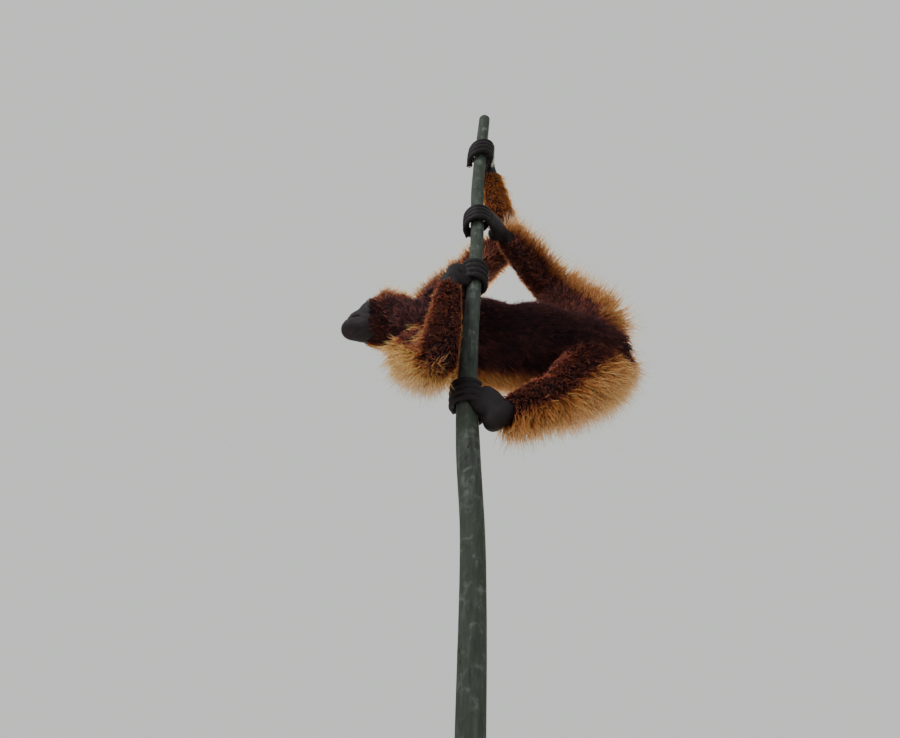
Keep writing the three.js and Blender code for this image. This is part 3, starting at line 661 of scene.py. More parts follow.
def skinShape():
    rough = applied(skinBody(), ("REMESH", {"mode": "VOXEL", "voxel_size": skinGrain["voxel"]}))
    points = readVectors(rough)
    onHead = toHead(points)
    shown = (headField(onHead) < 14) * (1 - smoothStep(1.15, 1.3, faceOval(points)))
    fine = np.maximum(shown, 1 - smoothStep(0.006, 0.01, digitGaps(points)[0]))
    fine = np.maximum(fine, 1 - smoothStep(30, 38, earReach(onHead)))
    for grasp in grips.values():
        wrist = np.array(joints[grasp["limb"][1]])
        fine = np.maximum(fine, 1 - smoothStep(0.06, 0.08, np.linalg.norm(points - wrist, axis=1)))
    thin = {"ratio": skinGrain["keep"], "vertex_group": "flesh", "vertex_group_factor": 1}
    mesh = applied(
        rough,
        ("SMOOTH", {"factor": 0.6, "iterations": 16, "vertex_group": "flesh"}),
        ("SMOOTH", {"factor": 0.5, "iterations": 2}),
        ("DECIMATE", thin),
        flesh=1 - fine,
    )
    bm = bmesh.new()
    bm.from_mesh(mesh)
    bpy.data.meshes.remove(mesh)
    for closer in (False, True):
        centres = np.array([f.calc_center_median() for f in bm.faces])
        onHead = toHead(centres)
        cut = (faceOval(centres) < 1) & (np.abs(headField(onHead)) < 9)
        cut = cut & features(onHead) if closer else cut | (digitGaps(centres)[0] < 0.002)
        edges = {e for f, chosen in zip(bm.faces, cut) if chosen for e in f.edges}
        bmesh.ops.subdivide_edges(bm, edges=list(edges), cuts=1, use_grid_fill=True)
    bmesh.ops.triangulate(bm, faces=[f for f in bm.faces if len(f.verts) > 4])
    points = np.array([v.co for v in bm.verts])
    onHead = toHead(points)
    oval = faceOval(points)
    mask = (1 - smoothStep(0.98, 1.2, oval)) * (np.abs(headField(onHead)) < 9)
    chosen = np.nonzero(mask > 0)[0]
    way = unit(onHead[chosen] - headSeed)
    shaped = headShape(headSurface(way))
    moved = onHead[chosen] + (shaped - onHead[chosen]) * mask[chosen][:, None]
    points[chosen] = fromHead(moved)
    for vert, spot in zip(bm.verts, partDigits(points)):
        vert.co = spot
    return newMesh("skin", bm)


def digitGap(points, core, radii):  # how far places lie outside a digit, and the nearest spots on its middle
    distance, spot, share, _ = nearLine(points, core)
    return distance - between(radii, share), spot


def partDigits(points):
    # Near the digits the skin is drawn onto their own round forms, so that grooves show between them
    blend, reach = 0.0011, 0.006
    moved = points.copy()
    nearest = np.full(len(points), 1e9)
    for core, _ in digitCores:
        middle = core[len(core) // 2]
        nearest = np.minimum(nearest, np.linalg.norm(points - middle, axis=1))
    chosen = np.nonzero(nearest < 0.11)[0]
    spots = points[chosen]
    for _ in range(3):
        fields, ways = [], []
        for core, radii in digitCores:
            gap, spot = digitGap(spots, core, radii)
            fields.append(gap)
            ways.append(unit(spots - spot))
        fields, ways = np.array(fields), np.array(ways)
        weight = np.exp(-np.clip(fields - fields.min(0), 0, 0.05) / blend)
        total = weight.sum(0)
        field = fields.min(0) - blend * np.log(total)
        way = unit((weight[:, :, None] * ways).sum(0))
        near = 1 - smoothStep(0.35 * reach, reach, np.abs(field))
        spots = spots - way * (field * near)[:, None]
    moved[chosen] = spots
    return moved


def digitGaps(points):
    # How far a place lies outside the nearest digit, and outside the next
    first, second = np.full((2, len(points)), 1.0)
    for core, radii in digitCores:
        close = np.nonzero(np.linalg.norm(points - core[len(core) // 2], axis=1) < 0.12)[0]
        gap, _ = digitGap(points[close], core, radii)
        second[close] = np.minimum(second[close], np.maximum(first[close], gap))
        first[close] = np.minimum(first[close], gap)
    return first, second


def addAttribute(mesh, name, values):
    attribute = mesh.attributes.new(name, "FLOAT", "POINT")
    attribute.data.foreach_set("value", np.asarray(values, np.float32))


def unwrap(mesh):
    # Each length of the body is rolled out flat in a tile of its own
    points = readVectors(mesh)
    corners = readMesh(mesh.loops, "vertex_index", 1, np.int32)[:, 0]
    totals = readMesh(mesh.polygons, "loop_total", 1, np.int32)[:, 0]
    faceOf = np.repeat(np.arange(len(totals)), totals)
    centres = np.zeros((len(totals), 3))
    np.add.at(centres, faceOf, points[corners])
    centres /= totals[:, None]
    lines = dict(fieldLines)
    lines["head"] = np.array([headOrigin + headAxes[0] * reach for reach in (-0.09, 0.13)])
    for name, grasp in grips.items():
        wrist, middle = np.array(joints[grasp["limb"][1]]), np.array(joints[grasp["limb"][0]])
        lines[name] = np.array([wrist, wrist + unit((wrist - middle)[None])[0] * 0.1])
    names = list(lines)
    reach = []
    for name in names:
        distance, _, share, _ = nearLine(centres, lines[name])
        plain = 0.07 if name == "head" else 0.03
        reach.append(distance - (between(fieldGirths[name], share) if name in fieldGirths else plain))
    tile = np.argmin(np.array(reach), axis=0)
    uv = np.zeros((len(corners), 2))
    side = 4
    for row, name in enumerate(names):
        chosen = tile[faceOf] == row
        if not chosen.any():
            continue
        line = lines[name]
        axis = unit((line[-1] - line[0])[None])[0]
        first = unit(np.cross(axis, [0.31, 0.52, 0.8])[None])[0]
        second = np.cross(axis, first)
        own = points[corners[chosen]] - line[0]
        middle = centres[faceOf[chosen]] - line[0]
        angle = np.arctan2(middle @ second, middle @ first)
        bend = np.arctan2(own @ second, own @ first) - angle
        angle = angle + (bend + np.pi) % (2 * np.pi) - np.pi
        length = own @ axis / np.linalg.norm(line[-1] - line[0])
        across = 0.5 + 0.42 * angle / np.pi
        up = 0.5 + 0.3 * np.clip(length * 2 - 1, -1.6, 1.6)
        uv[chosen] = (np.stack([across, up], axis=1) + [row % side, row // side]) / side
    addUv(mesh, uv)
    return uv


# Coat: tapered tufts of solid mesh, each bent from its root along the lie and down

coatGrain = {
    "tufts": 86000, "guides": 9000, "width": 2.9, "thick": 0.3, "clump": 0.4, "sink": 3, "patch": 0.003,
    "rise": (0.0012, 0.0045), "slack": (0.0025, 0.006), "offTrunk": 0.026, "stretch": 1.25,
    "most": 12000, "seed": 7,
}


tuftShares = (0.0, 0.3, 0.62, 1.0)  # where root, two bends and tip lie along a tuft


def keepClear(points, slack):
    # A point inside another length of the body, or the trunk, moves out to its surface
    for name in bodyParts:
        distance, spot, share, _ = nearLine(points, fieldLines[name])
        girth = between(fieldGirths[name], share) + slack
        inside = distance < girth
        away = unit(points - spot)
        points = np.where(inside[:, None], spot + away * girth[:, None], points)
    distance, spot, _, _ = nearLine(points, perchSamples)
    inside = distance < coatGrain["offTrunk"]
    points = np.where(inside[:, None], spot + unit(points - spot) * coatGrain["offTrunk"], points)
    onHead = toHead(points)
    depth = headField(onHead)
    inside = depth < 2
    out = unit(onHead - headSeed)
    return np.where(inside[:, None], fromHead(onHead + out * (2 - depth)[:, None]), points)


def bentLine(roots, normals, body, rng, lengths):
    # Root, two bends and tip of every tuft
    count = len(roots)
    flat = body["lie"] - normals * (body["lie"] * normals).sum(1)[:, None]
    flat = unit(flat + rng.normal(0, 0.22, (count, 3)))
    lift = np.clip(body["lift"] * (0.75 + 0.5 * rng.random(count)), 0.05, 0.95)[:, None]
    way = unit(flat * (1 - lift) + normals * lift)
    curl = rng.normal(0, 0.3, (count, 3))
    fall = down - normals * np.minimum((down * normals).sum(1), 0)[:, None]
    points = [roots - normals * np.minimum(coatGrain["sink"] * mm, 0.15 * lengths)[:, None]]
    low, more = coatGrain["rise"]
    slack, wider = coatGrain["slack"]
    for before, after in zip(tuftShares, tuftShares[1:]):
        way = unit(way + fall * (body["hang"] * after * 0.7)[:, None] + flat * 0.12 + curl * after)
        step = points[-1] + way * (lengths * (after - before))[:, None]
        rise = ((step - roots) * normals).sum(1)
        step = step + normals * np.maximum(low + more * after - rise, 0)[:, None]
        points.append(keepClear(step, slack + wider * after))
    return np.stack(points, axis=1)


def scatter(mesh, rng):  # roots spread over the skin by area and by how much grows there
    mesh.calc_loop_triangles()
    corners, loops = (readMesh(mesh.loop_triangles, key, 3, np.int32) for key in ("vertices", "loops"))
    points, normals = readVectors(mesh), readVectors(mesh, "normal")
    a, b, c = (points[corners[:, i]] for i in range(3))
    area = np.linalg.norm(np.cross(b - a, c - a), axis=1) / 2
    facing = unit(normals[corners].sum(1))
    body = coatAt((a + b + c) / 3, facing)
    grows = np.clip(1 - body["bare"], 0, 1)
    whorl = np.abs((body["lie"] * facing).sum(1)) ** 4
    chance = area * np.where(grows > 0.05, grows, 0) * (1 + 0.5 * body["headShare"] + 1.5 * whorl)
    total = chance.cumsum()
    picked = np.searchsorted(total, rng.random(coatGrain["tufts"]) * total[-1])
    mix = rng.random((coatGrain["tufts"], 2))
    root = np.sqrt(mix[:, :1])
    weights = np.concatenate([1 - root, root * (1 - mix[:, 1:]), root * mix[:, 1:]], axis=1)
    spots = (points[corners[picked]] * weights[:, :, None]).sum(1)
    facing = unit((normals[corners[picked]] * weights[:, :, None]).sum(1))
    return spots, facing, loops[picked], weights


def growCoat(skin, uv):
    rng = np.random.default_rng(coatGrain["seed"])
    roots, normals, loops, weights = scatter(skin, rng)
    patches = (uv[loops] * weights[:, :, None]).sum(1)
    body = coatAt(roots, normals)
    count = len(roots)
    grows = 1 - body["bare"]
    lengths = body["long"] * mm * (0.35 + 0.65 * grows) * (0.5 + 0.65 * rng.random(count))
    lines = bentLine(roots, normals, body, rng, lengths)
    stretched = np.linalg.norm(np.diff(lines, axis=1), axis=2).sum(1) / lengths
    # Tufts lean together into locks, each towards the nearest guide
    guides = rng.choice(count, coatGrain["guides"], replace=False)
    tree = kdtree.KDTree(len(guides))
    for i, guide in enumerate(guides):
        tree.insert(roots[guide], i)
    tree.balance()
    nearest = guides[[tree.find(root)[1] for root in roots]]
    together = np.array([0, 0.25, 0.62, 0.95]) * coatGrain["clump"] * (0.6 + 0.6 * rng.random((count, 1)))
    spread = roots - roots[nearest]
    close = (np.linalg.norm(spread, axis=1) < 0.03)[:, None]
    led = lines[nearest] + spread[:, None] * np.array([1, 0.85, 0.6, 0.3])[None, :, None]
    lines = lines + (led - lines) * (together * close)[:, :, None]
    widths = coatGrain["width"] * mm * (0.75 + 0.5 * rng.random(count))
    widths = widths * (1.05 - 0.2 * smoothStep(30, 80, body["long"])) * (1 - 0.25 * body["headShare"])
    shade = 0.6 * rng.random(count) + 0.4 * rng.random(count)[nearest]
    grown = 0
    for name in list(bodyParts) + ["head"]:
        chosen = np.nonzero((body["part"] == name) & (stretched < coatGrain["stretch"]))[0]
        if not len(chosen):
            continue
        chosen = chosen[np.argsort(roots[chosen][:, 0] + 0.3 * roots[chosen][:, 2])]
        parts = np.array_split(chosen, math.ceil(len(chosen) / coatGrain["most"]))
        for i, rows in enumerate(parts):
            label = f"coat_{name}_{i + 1}" if len(parts) > 1 else f"coat_{name}"
            mesh = tuftMesh(label, lines[rows], normals[rows], widths[rows], patches[rows],
                            {"warm": body["warm"][rows], "shade": shade[rows]})
            newPiece(label, mesh, materials["hair"])
            grown += len(rows)
    print(f"coat grown: {grown} tufts")


def tuftMesh(name, lines, normals, widths, patches, tints):
    count = len(lines)
    way = unit(np.diff(lines, axis=1, append=lines[:, -1:] * 2 - lines[:, -2:-1]))
    across = unit(np.cross(way, normals[:, None]))
    out = unit(np.cross(across, way))
    size = widths[:, None, None]
    points = np.empty((count, 10, 3))
    for ring, (girth, thick) in enumerate(((0.7, 0.8), (1.0, 1.0), (0.5, 0.6))):
        middle = lines[:, ring]
        points[:, ring * 3] = middle + across[:, ring] * size[:, 0] * girth / 2
        points[:, ring * 3 + 1] = middle + out[:, ring] * size[:, 0] * coatGrain["thick"] * thick
        points[:, ring * 3 + 2] = middle - across[:, ring] * size[:, 0] * girth / 2
    points[:, 9] = lines[:, 3]
    turns = [(k, (k + 1) % 3) for k in range(3)]
    quads = [(r + k, r + after, r + 3 + after, r + 3 + k) for r in (0, 3) for k, after in turns]
    tips = [(6 + k, 6 + after, 9) for k, after in turns]
    faces = quads + tips + [(2, 1, 0)]
    pattern = np.concatenate(faces)
    sizes = [len(face) for face in faces]
    corners = (pattern[None] + np.arange(count)[:, None] * 10).ravel()
    totals = np.tile(sizes, count)
    mesh = bpy.data.meshes.new(name)
    mesh.vertices.add(count * 10)
    mesh.vertices.foreach_set("co", points.ravel())
    mesh.loops.add(len(corners))
    mesh.loops.foreach_set("vertex_index", corners.astype(np.int32))
    mesh.polygons.add(len(totals))
    mesh.polygons.foreach_set("loop_start", np.concatenate([[0], totals.cumsum()[:-1]]).astype(np.int32))
    mesh.polygons.foreach_set("use_smooth", np.ones(len(totals), bool))
    mesh.update(calc_edges=True)
    share = np.repeat(tuftShares, (3, 3, 3, 1))
    sideways = np.array([0, 0.5, 1] * 3 + [0.5])
    addAttribute(mesh, "tip", np.tile(share, count))
    for key, values in tints.items():
        addAttribute(mesh, key, np.repeat(values, 10))
    within = (np.stack([sideways, share], axis=1)[None] - 0.5) * coatGrain["patch"]
    addUv(mesh, (patches[:, None] + within).reshape(-1, 2)[corners])
    return mesh


# Materials

def colour(code):  # an sRGB hex code as linear red, green, blue, alpha
    parts = [int(code[i:i + 2], 16) / 255 for i in (1, 3, 5)]
    return tuple([c / 12.92 if c <= 0.04045 else ((c + 0.055) / 1.055) ** 2.4 for c in parts] + [1.0])


def addNode(tree, kind, settings=None, links=None):
    node = tree.nodes.new("ShaderNode" + kind)
    for key, value in (settings or {}).items():
        if key in node.inputs:
            node.inputs[key].default_value = value
        else:
            setattr(node, key, value)
    for key, source in (links or {}).items():
        tree.links.new(source, node.inputs[key])
    return node


def newMaterial(name):
    material = bpy.data.materials.new(name)
    material.use_nodes = True
    tree = material.node_tree
    tree.nodes.clear()
    return material, tree


def finished(material, settings, links):
    tree = material.node_tree
    shader = addNode(tree, "BsdfPrincipled", settings, links)
    addNode(tree, "OutputMaterial", links={"Surface": shader.outputs["BSDF"]})
    return material


def objectPlace(tree):
    return addNode(tree, "TexCoord").outputs["Object"]


def attribute(tree, name):
    return addNode(tree, "Attribute", {"attribute_name": name}).outputs["Fac"]


def noise(tree, where, scale, detail, roughness=0.5, distortion=0):
    settings = {"Scale": scale, "Detail": detail, "Roughness": roughness, "Distortion": distortion}
    return addNode(tree, "TexNoise", settings, {"Vector": where}).outputs["Fac"]


def relief(tree, height, strength, distance):
    node = addNode(tree, "Bump", {"Strength": strength, "Distance": distance}, {"Height": height})
    return node.outputs["Normal"]


def ramp(tree, source, stops):
    node = addNode(tree, "ValToRGB", links={"Fac": source})
    points = node.color_ramp.elements
    while len(points) < len(stops):
        points.new(0.5)
    for point, (position, code) in zip(points, stops):
        point.position, point.color = position, colour(code)
    return node.outputs["Color"]


def joined(tree, node, values):  # constants go on the node's own sockets, the rest are links
    for index, value in values:
        if isinstance(value, (tuple, float, int)):
            node.inputs[index].default_value = value
        else:
            tree.links.new(value, node.inputs[index])
    return node


def mixed(tree, share, low, high):
    node = addNode(tree, "Mix", {"data_type": "RGBA"})
    return joined(tree, node, ((0, share), (6, low), (7, high))).outputs[2]


def maths(tree, operation, first, second):
    node = addNode(tree, "Math", {"operation": operation})
    return joined(tree, node, ((0, first), (1, second))).outputs[0]


def hair():
    # Coarse keratin hair with a dull shine: dark at the root, orange along its length, tan at the tip; the
    # pale tips and pale long fringe are a painted glow of light through the hair, and the near black coat
    # below the chest is painted shade
    material, tree = newMaterial("orangutanHair")
    tip, warm, shade = (attribute(tree, name) for name in ("tip", "warm", "shade"))
    half = maths(tree, "MULTIPLY", warm, 0.5)
    outer = maths(tree, "MULTIPLY", tip, maths(tree, "ADD", half, 0.05))
    toneAndPaintedGlow = maths(tree, "ADD", half, outer)
    toneAndPaintedGlow = maths(tree, "ADD", toneAndPaintedGlow, maths(tree, "MULTIPLY", maths(tree, "SUBTRACT", shade, 0.5), 0.22))
    # The pale top stops paint the glow of light through tips and fringe; the darkest stops also paint the
    # shade on the underside
    tone = ramp(tree, toneAndPaintedGlow, [(0.0, "#160c10"), (0.14, "#2f1918"), (0.3, "#70301c"), (0.46, "#a85328"),
                             (0.7, "#c67436"), (1.0, "#e2a467")])
    return finished(material, {
        "Roughness": 0.6, "Specular IOR Level": 0.06,
        "Subsurface Weight": 0.5, "Subsurface Radius": (1, 0.62, 0.4), "Subsurface Scale": 0.012,
    }, {"Base Color": tone})


def skinLeather():
    # Bare hide, thick and finely cracked: slate brown on the face, darker on palms and soles
    material, tree = newMaterial("orangutanSkin")
    where = objectPlace(tree)
    mottle = noise(tree, where, 55, 4, 0.6)
    pores = noise(tree, where, 900, 3, 0.65)
    grain = {"feature": "DISTANCE_TO_EDGE", "Scale": 420, "Randomness": 1}
    cracks = addNode(tree, "TexVoronoi", grain, {"Vector": where}).outputs["Distance"]
    palm = ramp(tree, mottle, [(0.3, "#0c080b"), (0.7, "#181116")])
    visage = ramp(tree, mottle, [(0.3, "#110c10"), (0.55, "#1c151b"), (0.75, "#2b222a")])
    # Under the coat the hide follows the warm value, so it carries the coat's painted shade below and painted
    # glow on the fringe
    hide = ramp(tree, attribute(tree, "warm"), [(0.1, "#160d0d"), (0.4, "#2c1510"), (0.9, "#552712")])
    shown = mixed(tree, attribute(tree, "face"), palm, visage)
    shown = mixed(tree, attribute(tree, "pink"), shown, colour("#553e3e"))
    tone = mixed(tree, attribute(tree, "bare"), hide, shown)
    # Painted shade: the skin turns near black in the gaps between the digits
    tone = mixed(tree, maths(tree, "MULTIPLY", attribute(tree, "digitGapShade"), 0.75), tone, colour("#070506"))
    line = maths(tree, "MINIMUM", maths(tree, "MULTIPLY", cracks, 9.0), 1.0)
    tone = mixed(tree, 0.35, tone, mixed(tree, line, colour("#1c1413"), tone))
    height = maths(tree, "ADD", maths(tree, "MULTIPLY", line, 0.6), maths(tree, "MULTIPLY", pores, 0.5))
    return finished(material, {
        "Roughness": 0.55, "Specular IOR Level": 0.16, "Subsurface Weight": 0.05, "Subsurface Scale": 0.004,
    }, {"Base Color": tone, "Normal": relief(tree, height, 0.45, 0.0009)})


def wetEye(name, code, roughness=0.12):
    # A living eye is wet, so a clear coat lies over its colour
    material, tree = newMaterial(name)
    deep = tuple(c * 0.55 for c in colour(code)[:3]) + (1.0,)
    tone = mixed(tree, noise(tree, objectPlace(tree), 1400, 3), deep, colour(code))
    wet = {"Roughness": roughness, "Coat Weight": 1.0, "Coat Roughness": 0.03}
    return finished(material, wet, {"Base Color": tone})


def nailHorn():
    # Nail keratin, dark and slightly polished, with a faint mottle
    material, tree = newMaterial("nailHorn")
    tone = ramp(tree, noise(tree, objectPlace(tree), 600, 3), [(0.3, "#15100e"), (0.7, "#3a2d27")])
    return finished(material, {"Roughness": 0.34, "Specular IOR Level": 0.5}, {"Base Color": tone})


def bark():
    # Smooth forest bark: grey-green, streaked along the trunk, with pale lichen spots 10 to 30 mm across
    material, tree = newMaterial("lichenBark")
    where = objectPlace(tree)
    drawn = addNode(tree, "Mapping", {"Scale": (1, 1, 0.16)}, {"Vector": where}).outputs["Vector"]
    grain = noise(tree, drawn, 120, 6, 0.65)
    spots = noise(tree, where, 42, 5, 0.55, 0.6)
    wood = ramp(tree, grain, [(0.25, "#1e211e"), (0.5, "#2f3430"), (0.75, "#434843")])
    mossy = ramp(tree, noise(tree, where, 14, 3), [(0.42, "#000000"), (0.62, "#ffffff")])
    wood = mixed(tree, 0.5, wood, mixed(tree, mossy, wood, colour("#2c3429")))
    patch = ramp(tree, spots, [(0.54, "#000000"), (0.72, "#c8c8c8")])
    tone = mixed(tree, patch, wood, ramp(tree, grain, [(0.3, "#4a514c"), (0.7, "#686f69")]))
    dark = ramp(tree, spots, [(0.28, "#ffffff"), (0.36, "#000000")])
    tone = mixed(tree, dark, tone, colour("#181a18"))
    height = maths(tree, "ADD", grain, maths(tree, "MULTIPLY", spots, 0.5))
    links = {"Base Color": tone, "Normal": relief(tree, height, 0.6, 0.002)}
    return finished(material, {"Roughness": 0.88, "Specular IOR Level": 0.25}, links)


def paintedSteel():
    # Powder-coated steel: charcoal, satin, with the fine orange peel of the coating
    material, tree = newMaterial("powderCoatedSteel")
    peel = noise(tree, objectPlace(tree), 700, 2)
    tone = ramp(tree, peel, [(0.3, "#2a2b2c"), (0.7, "#353637")])
    normal = relief(tree, peel, 0.25, 0.0004)
    return finished(material, {"Roughness": 0.48, "Metallic": 0.0}, {"Base Color": tone, "Normal": normal})


def studioPaper():
    material, tree = newMaterial("studioPaper")
    tone = ramp(tree, noise(tree, objectPlace(tree), 3, 3), [(0.3, "#d2d0ca"), (0.7, "#dddbd6")])
    return finished(material, {"Roughness": 0.9}, {"Base Color": tone})


materials = {
    "hair": hair(),
    "skin": skinLeather(),
    "white": wetEye("eyeWhite", "#5a4438", 0.25),
    "iris": wetEye("eyeIris", "#6b3d1c"),
    "pupil": wetEye("eyePupil", "#060505", 0.05),
    "nail": nailHorn(),
    "bark": bark(),
    "steel": paintedSteel(),
    "paper": studioPaper(),
}
print("materials made")


# Skin and coat
skinPiece = newPiece("skin", skinShape(), materials["skin"])
skinPoints, skinNormals = readVectors(skinPiece.data), readVectors(skinPiece.data, "normal")
skinCoat = coatAt(skinPoints, skinNormals)
onHead = toHead(skinPoints)
eyeSpot = np.array([eyePlace["forward"], eyePlace["side"], eyePlace["height"]])
folded = np.stack([onHead[:, 0], np.abs(onHead[:, 1]), onHead[:, 2]], axis=1)
fromEye = np.linalg.norm(folded - eyeSpot, axis=1)
lips = bell(np.abs(onHead[:, 2] - mouthPlace["height"]), 9) * smoothStep(85, 105, onHead[:, 0])
pinkness = 0.55 * (1 - smoothStep(11, 22, fromEye)) + 0.4 * lips
# Painted shade mask: 1 in the gaps where the digits crowd together
digitGapShade = 1 - smoothStep(0.0005, 0.0035, digitGaps(skinPoints)[1])
marks = {"bare": skinCoat["bare"], "warm": skinCoat["warm"], "face": skinCoat["headShare"], "pink": pinkness,
         "digitGapShade": digitGapShade}
for name, values in marks.items():
    addAttribute(skinPiece.data, name, values)
skinUv = unwrap(skinPiece.data)
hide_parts(*[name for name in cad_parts
                         if name.split("_")[0] not in ("perch", "stand", "eye")])
print(f"skin made: {len(skinPiece.data.polygons)} faces")
growCoat(skinPiece.data, skinUv)


# Eyes: a ball with a clear bulge in front, in rings of white, iris and pupil
eyeRings = {"pupil": 17, "iris": 39, "bulge": 42, "rise": 0.075}  # half angles in degrees, and a height


def eyeBall(side, hand):
    centre = headSpot(*eyeSpot * (1, hand, 1))
    bm = bmesh.new()
    gaze = (headForward - headCrown * 0.04 + headLeft * hand * 0.12).normalized()
    turned = gaze.to_track_quat("Z", "Y").to_matrix().to_4x4()
    bmesh.ops.create_uvsphere(bm, u_segments=40, v_segments=36, radius=eyePlace["radius"] * mm)
    for face in bm.faces:
        tilt = math.degrees(face.calc_center_median().angle(Vector((0, 0, 1))))
        face.material_index = 2 if tilt < eyeRings["pupil"] else 1 if tilt < eyeRings["iris"] else 0
    for vert in bm.verts:
        tilt = math.degrees(vert.co.angle(Vector((0, 0, 1))))
        vert.co *= 1 + eyeRings["rise"] * math.cos(math.radians(min(tilt / eyeRings["bulge"], 1) * 90))
    bmesh.ops.transform(bm, matrix=Matrix.Translation(centre) @ turned, verts=bm.verts)
    mesh = newMesh(f"eye_{side}_ball", bm)
    piece = newPiece(f"eye_{side}_ball", mesh, materials["white"])
    for name in ("iris", "pupil"):
        mesh.materials.append(materials[name])
    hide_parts(f"eye_{side}")


eyeBall("left", 1)
eyeBall("right", -1)


# Nails: small curved plates on the outer side of each digit's end
def nails():
    bm = bmesh.new()
    for tip, way, out, size in fingerTips:
        out = (out - way * out.dot(way)).normalized()
        side = way.cross(out)
        centre = tip + out * size * 0.72 + way * size * 0.35
        lump(bm, centre, (side, way, out), (size * 0.72, size * 0.95, size * 0.4), 16, 10)
    newPiece("nails", newMesh("nails", bm), materials["nail"])


nails()
print("eyes and nails made")


# Trunk: rings extruded up its wandering line, roughened by ripples and knots
barkShape = {"sides": 48, "rows": 300, "ripple": 0.018, "knots": 26, "knotHeight": 0.0022, "seed": 3}


def trunk():
    rng = np.random.default_rng(barkShape["seed"])
    knots = [(rng.uniform(0.3, 2.3), rng.uniform(0, 6.28), rng.uniform(0.006, 0.012))
             for _ in range(barkShape["knots"])]
    bm = bmesh.new()
    rows = barkShape["rows"]
    heights = [perchLine[0].z + (perchLine[-1].z - perchLine[0].z) * i / rows for i in range(rows + 1)]

    def station(z):
        centre, radius = perchAt(z)
        return Matrix.Translation((centre.x, centre.y, z)) @ Matrix.Diagonal((radius, radius, 1, 1))

    extruded(bm, barkShape["sides"], [station(height) for height in heights])
    for vert in bm.verts:
        centre, radius = perchAt(vert.co.z)
        away = vert.co - Vector((centre.x, centre.y, vert.co.z))
        turn = math.atan2(away.y, away.x)
        z = vert.co.z
        swell = math.sin(2 * turn + z * 9) * math.cos(z * 6)
        swell += 0.4 * math.sin(5 * turn + z * 23) + 0.3 * math.sin(9 * turn - z * 31)
        bump = 0.0
        for height, angle, size in knots:
            apart = math.hypot((z - height), radius * math.sin((turn - angle) / 2) * 2)
            bump += barkShape["knotHeight"] * math.exp(-(apart / size) ** 2)
        vert.co += away.normalized() * (radius * barkShape["ripple"] * swell + bump - 0.0006)
    bmesh.ops.recalc_face_normals(bm, faces=bm.faces)
    piece = newPiece("trunk", newMesh("trunk", bm), materials["bark"])
    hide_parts("perch_trunk")


trunk()


# Stand: a base plate with softened edges, and a round rod with a low collar at its foot
standShape = {"corner": 0.04, "edge": 0.002, "rod": 0.014, "collar": 0.026, "collarHigh": 0.012}


def stand():
    low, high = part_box("stand_base")
    size = high - low
    bm = bmesh.new()
    placed = Matrix.Translation((low + high) / 2) @ Matrix.Diagonal((*size, 1))
    bmesh.ops.create_cube(bm, size=1, matrix=placed)
    rounded = {"affect": "EDGES", "profile": 0.5, "material": -1}
    upright = [e for e in bm.edges if abs(e.verts[0].co.z - e.verts[1].co.z) > size.z / 2]
    bmesh.ops.bevel(bm, geom=upright, offset=standShape["corner"], segments=10, **rounded)
    rims = [e for e in bm.edges if abs(e.verts[0].co.z - e.verts[1].co.z) < 1e-5 and e.calc_face_angle(0) > 1]
    bmesh.ops.bevel(bm, geom=rims, offset=standShape["edge"], segments=3, **rounded)
    plate = newPiece("base_plate", newMesh("base_plate", bm, smooth=False), materials["steel"])
    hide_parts("stand_base")
    low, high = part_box("stand_rod")
    axis = (low + high) / 2
    bm = bmesh.new()
    rod, collar, rim = standShape["rod"], standShape["collar"], standShape["edge"]
    ledge = low.z + standShape["collarHigh"]
    profile = [(0.0, low.z), (collar, low.z), (collar, ledge - rim), (collar - rim, ledge), (rod, ledge),
               (rod, high.z), (0.0, high.z)]
    outline = [bm.verts.new((axis.x + x, axis.y, z)) for x, z in profile]
    edges = [bm.edges.new(pair) for pair in zip(outline, outline[1:])]
    turned = {"angle": math.tau, "steps": 48, "axis": (0, 0, 1), "cent": axis, "use_merge": True}
    bmesh.ops.spin(bm, geom=outline + edges, **turned)
    bmesh.ops.remove_doubles(bm, verts=bm.verts, dist=1e-5)
    bmesh.ops.recalc_face_normals(bm, faces=bm.faces)
    post = newPiece("rod", newMesh("rod", bm, smooth=False), materials["steel"])
    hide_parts("stand_rod")


stand()
print("trunk and stand made")


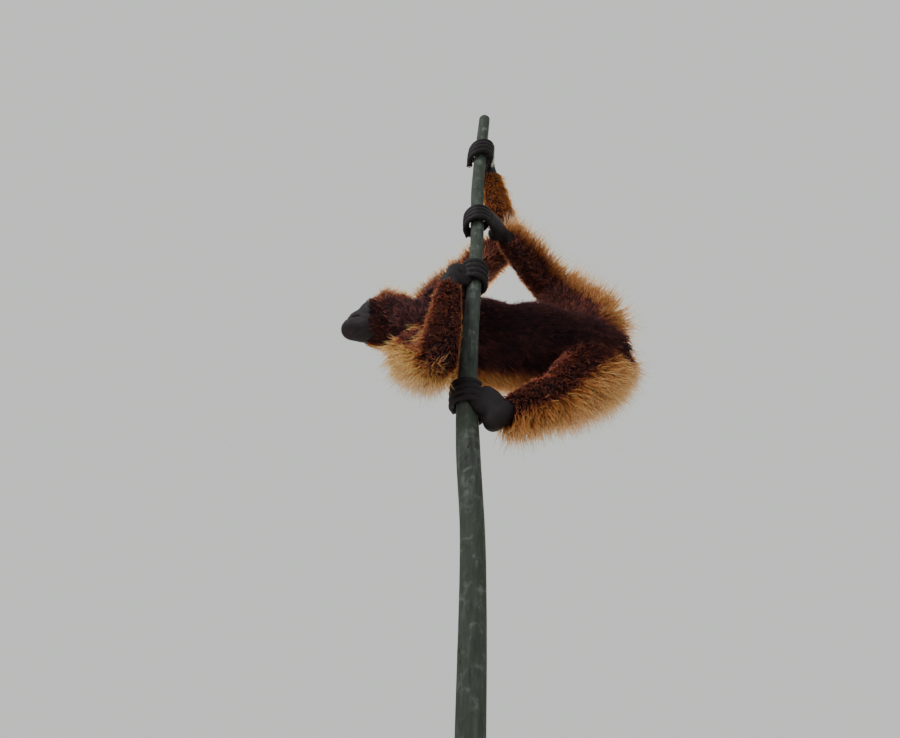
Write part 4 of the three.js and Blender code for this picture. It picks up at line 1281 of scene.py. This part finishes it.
# Floor and backdrop
bm = bmesh.new()
bmesh.ops.create_grid(bm, x_segments=8, y_segments=8, size=6)
floor = newObject("floor", newMesh("floor", bm))
floor.data.materials.append(materials["paper"])


# Soft studio light: a pale room, a broad lamp high behind for the glow in the coat, and fill from in front
lampAim = Vector((0.0, 0.0, 1.45))
lamps = {
    "back": {"at": (0.5, 2.2, 3.4), "size": 2.2, "watts": 230, "tint": "#fff1dc"},
    "key": {"at": (-2.0, -1.8, 2.6), "size": 1.8, "watts": 85, "tint": "#ffffff"},
    "fill": {"at": (1.4, -2.4, 0.8), "size": 2.4, "watts": 22, "tint": "#f4f8ff"},
}
for name, lamp in lamps.items():
    light = bpy.data.lights.new(name, "AREA")
    light.energy, light.size, light.color = lamp["watts"], lamp["size"], colour(lamp["tint"])[:3]
    holder = newObject(name, light)
    at = Vector(lamp["at"])
    turned = (lampAim - at).to_track_quat("-Z", "Y").to_matrix().to_4x4()
    holder.matrix_world = Matrix.Translation(at) @ turned
world = bpy.data.worlds.new("studio")
bpy.context.scene.world = world
world.use_nodes = True
backdrop = world.node_tree.nodes["Background"]
backdrop.inputs["Color"].default_value = colour("#e4e8e4")
backdrop.inputs["Strength"].default_value = 0.95


# Camera: low in front of the trunk, looking up at 43 degrees, as the photograph was taken
view = {"at": (-0.130, -1.158, 0.150), "pitch": 43, "roll": 4.2, "focal": 650, "wide": 900, "sensor": 36}
pitch, roll = math.radians(view["pitch"]), math.radians(view["roll"])
ahead = Vector((0, math.cos(pitch), math.sin(pitch)))
across, above = Vector((1, 0, 0)), Vector((0, -math.sin(pitch), math.cos(pitch)))
cameraX = across * math.cos(roll) + above * math.sin(roll)
cameraY = above * math.cos(roll) - across * math.sin(roll)
lens = bpy.data.cameras.new("camera")
lens.sensor_width = view["sensor"]
lens.lens = view["focal"] / view["wide"] * view["sensor"]
camera = newObject("camera", lens)
turned = Matrix((cameraX, cameraY, -ahead)).transposed().to_4x4()
camera.matrix_world = Matrix.Translation(view["at"]) @ turned
bpy.context.scene.camera = camera


def plain(box):  # corners as lists of numbers
    return [list(corner) for corner in box]
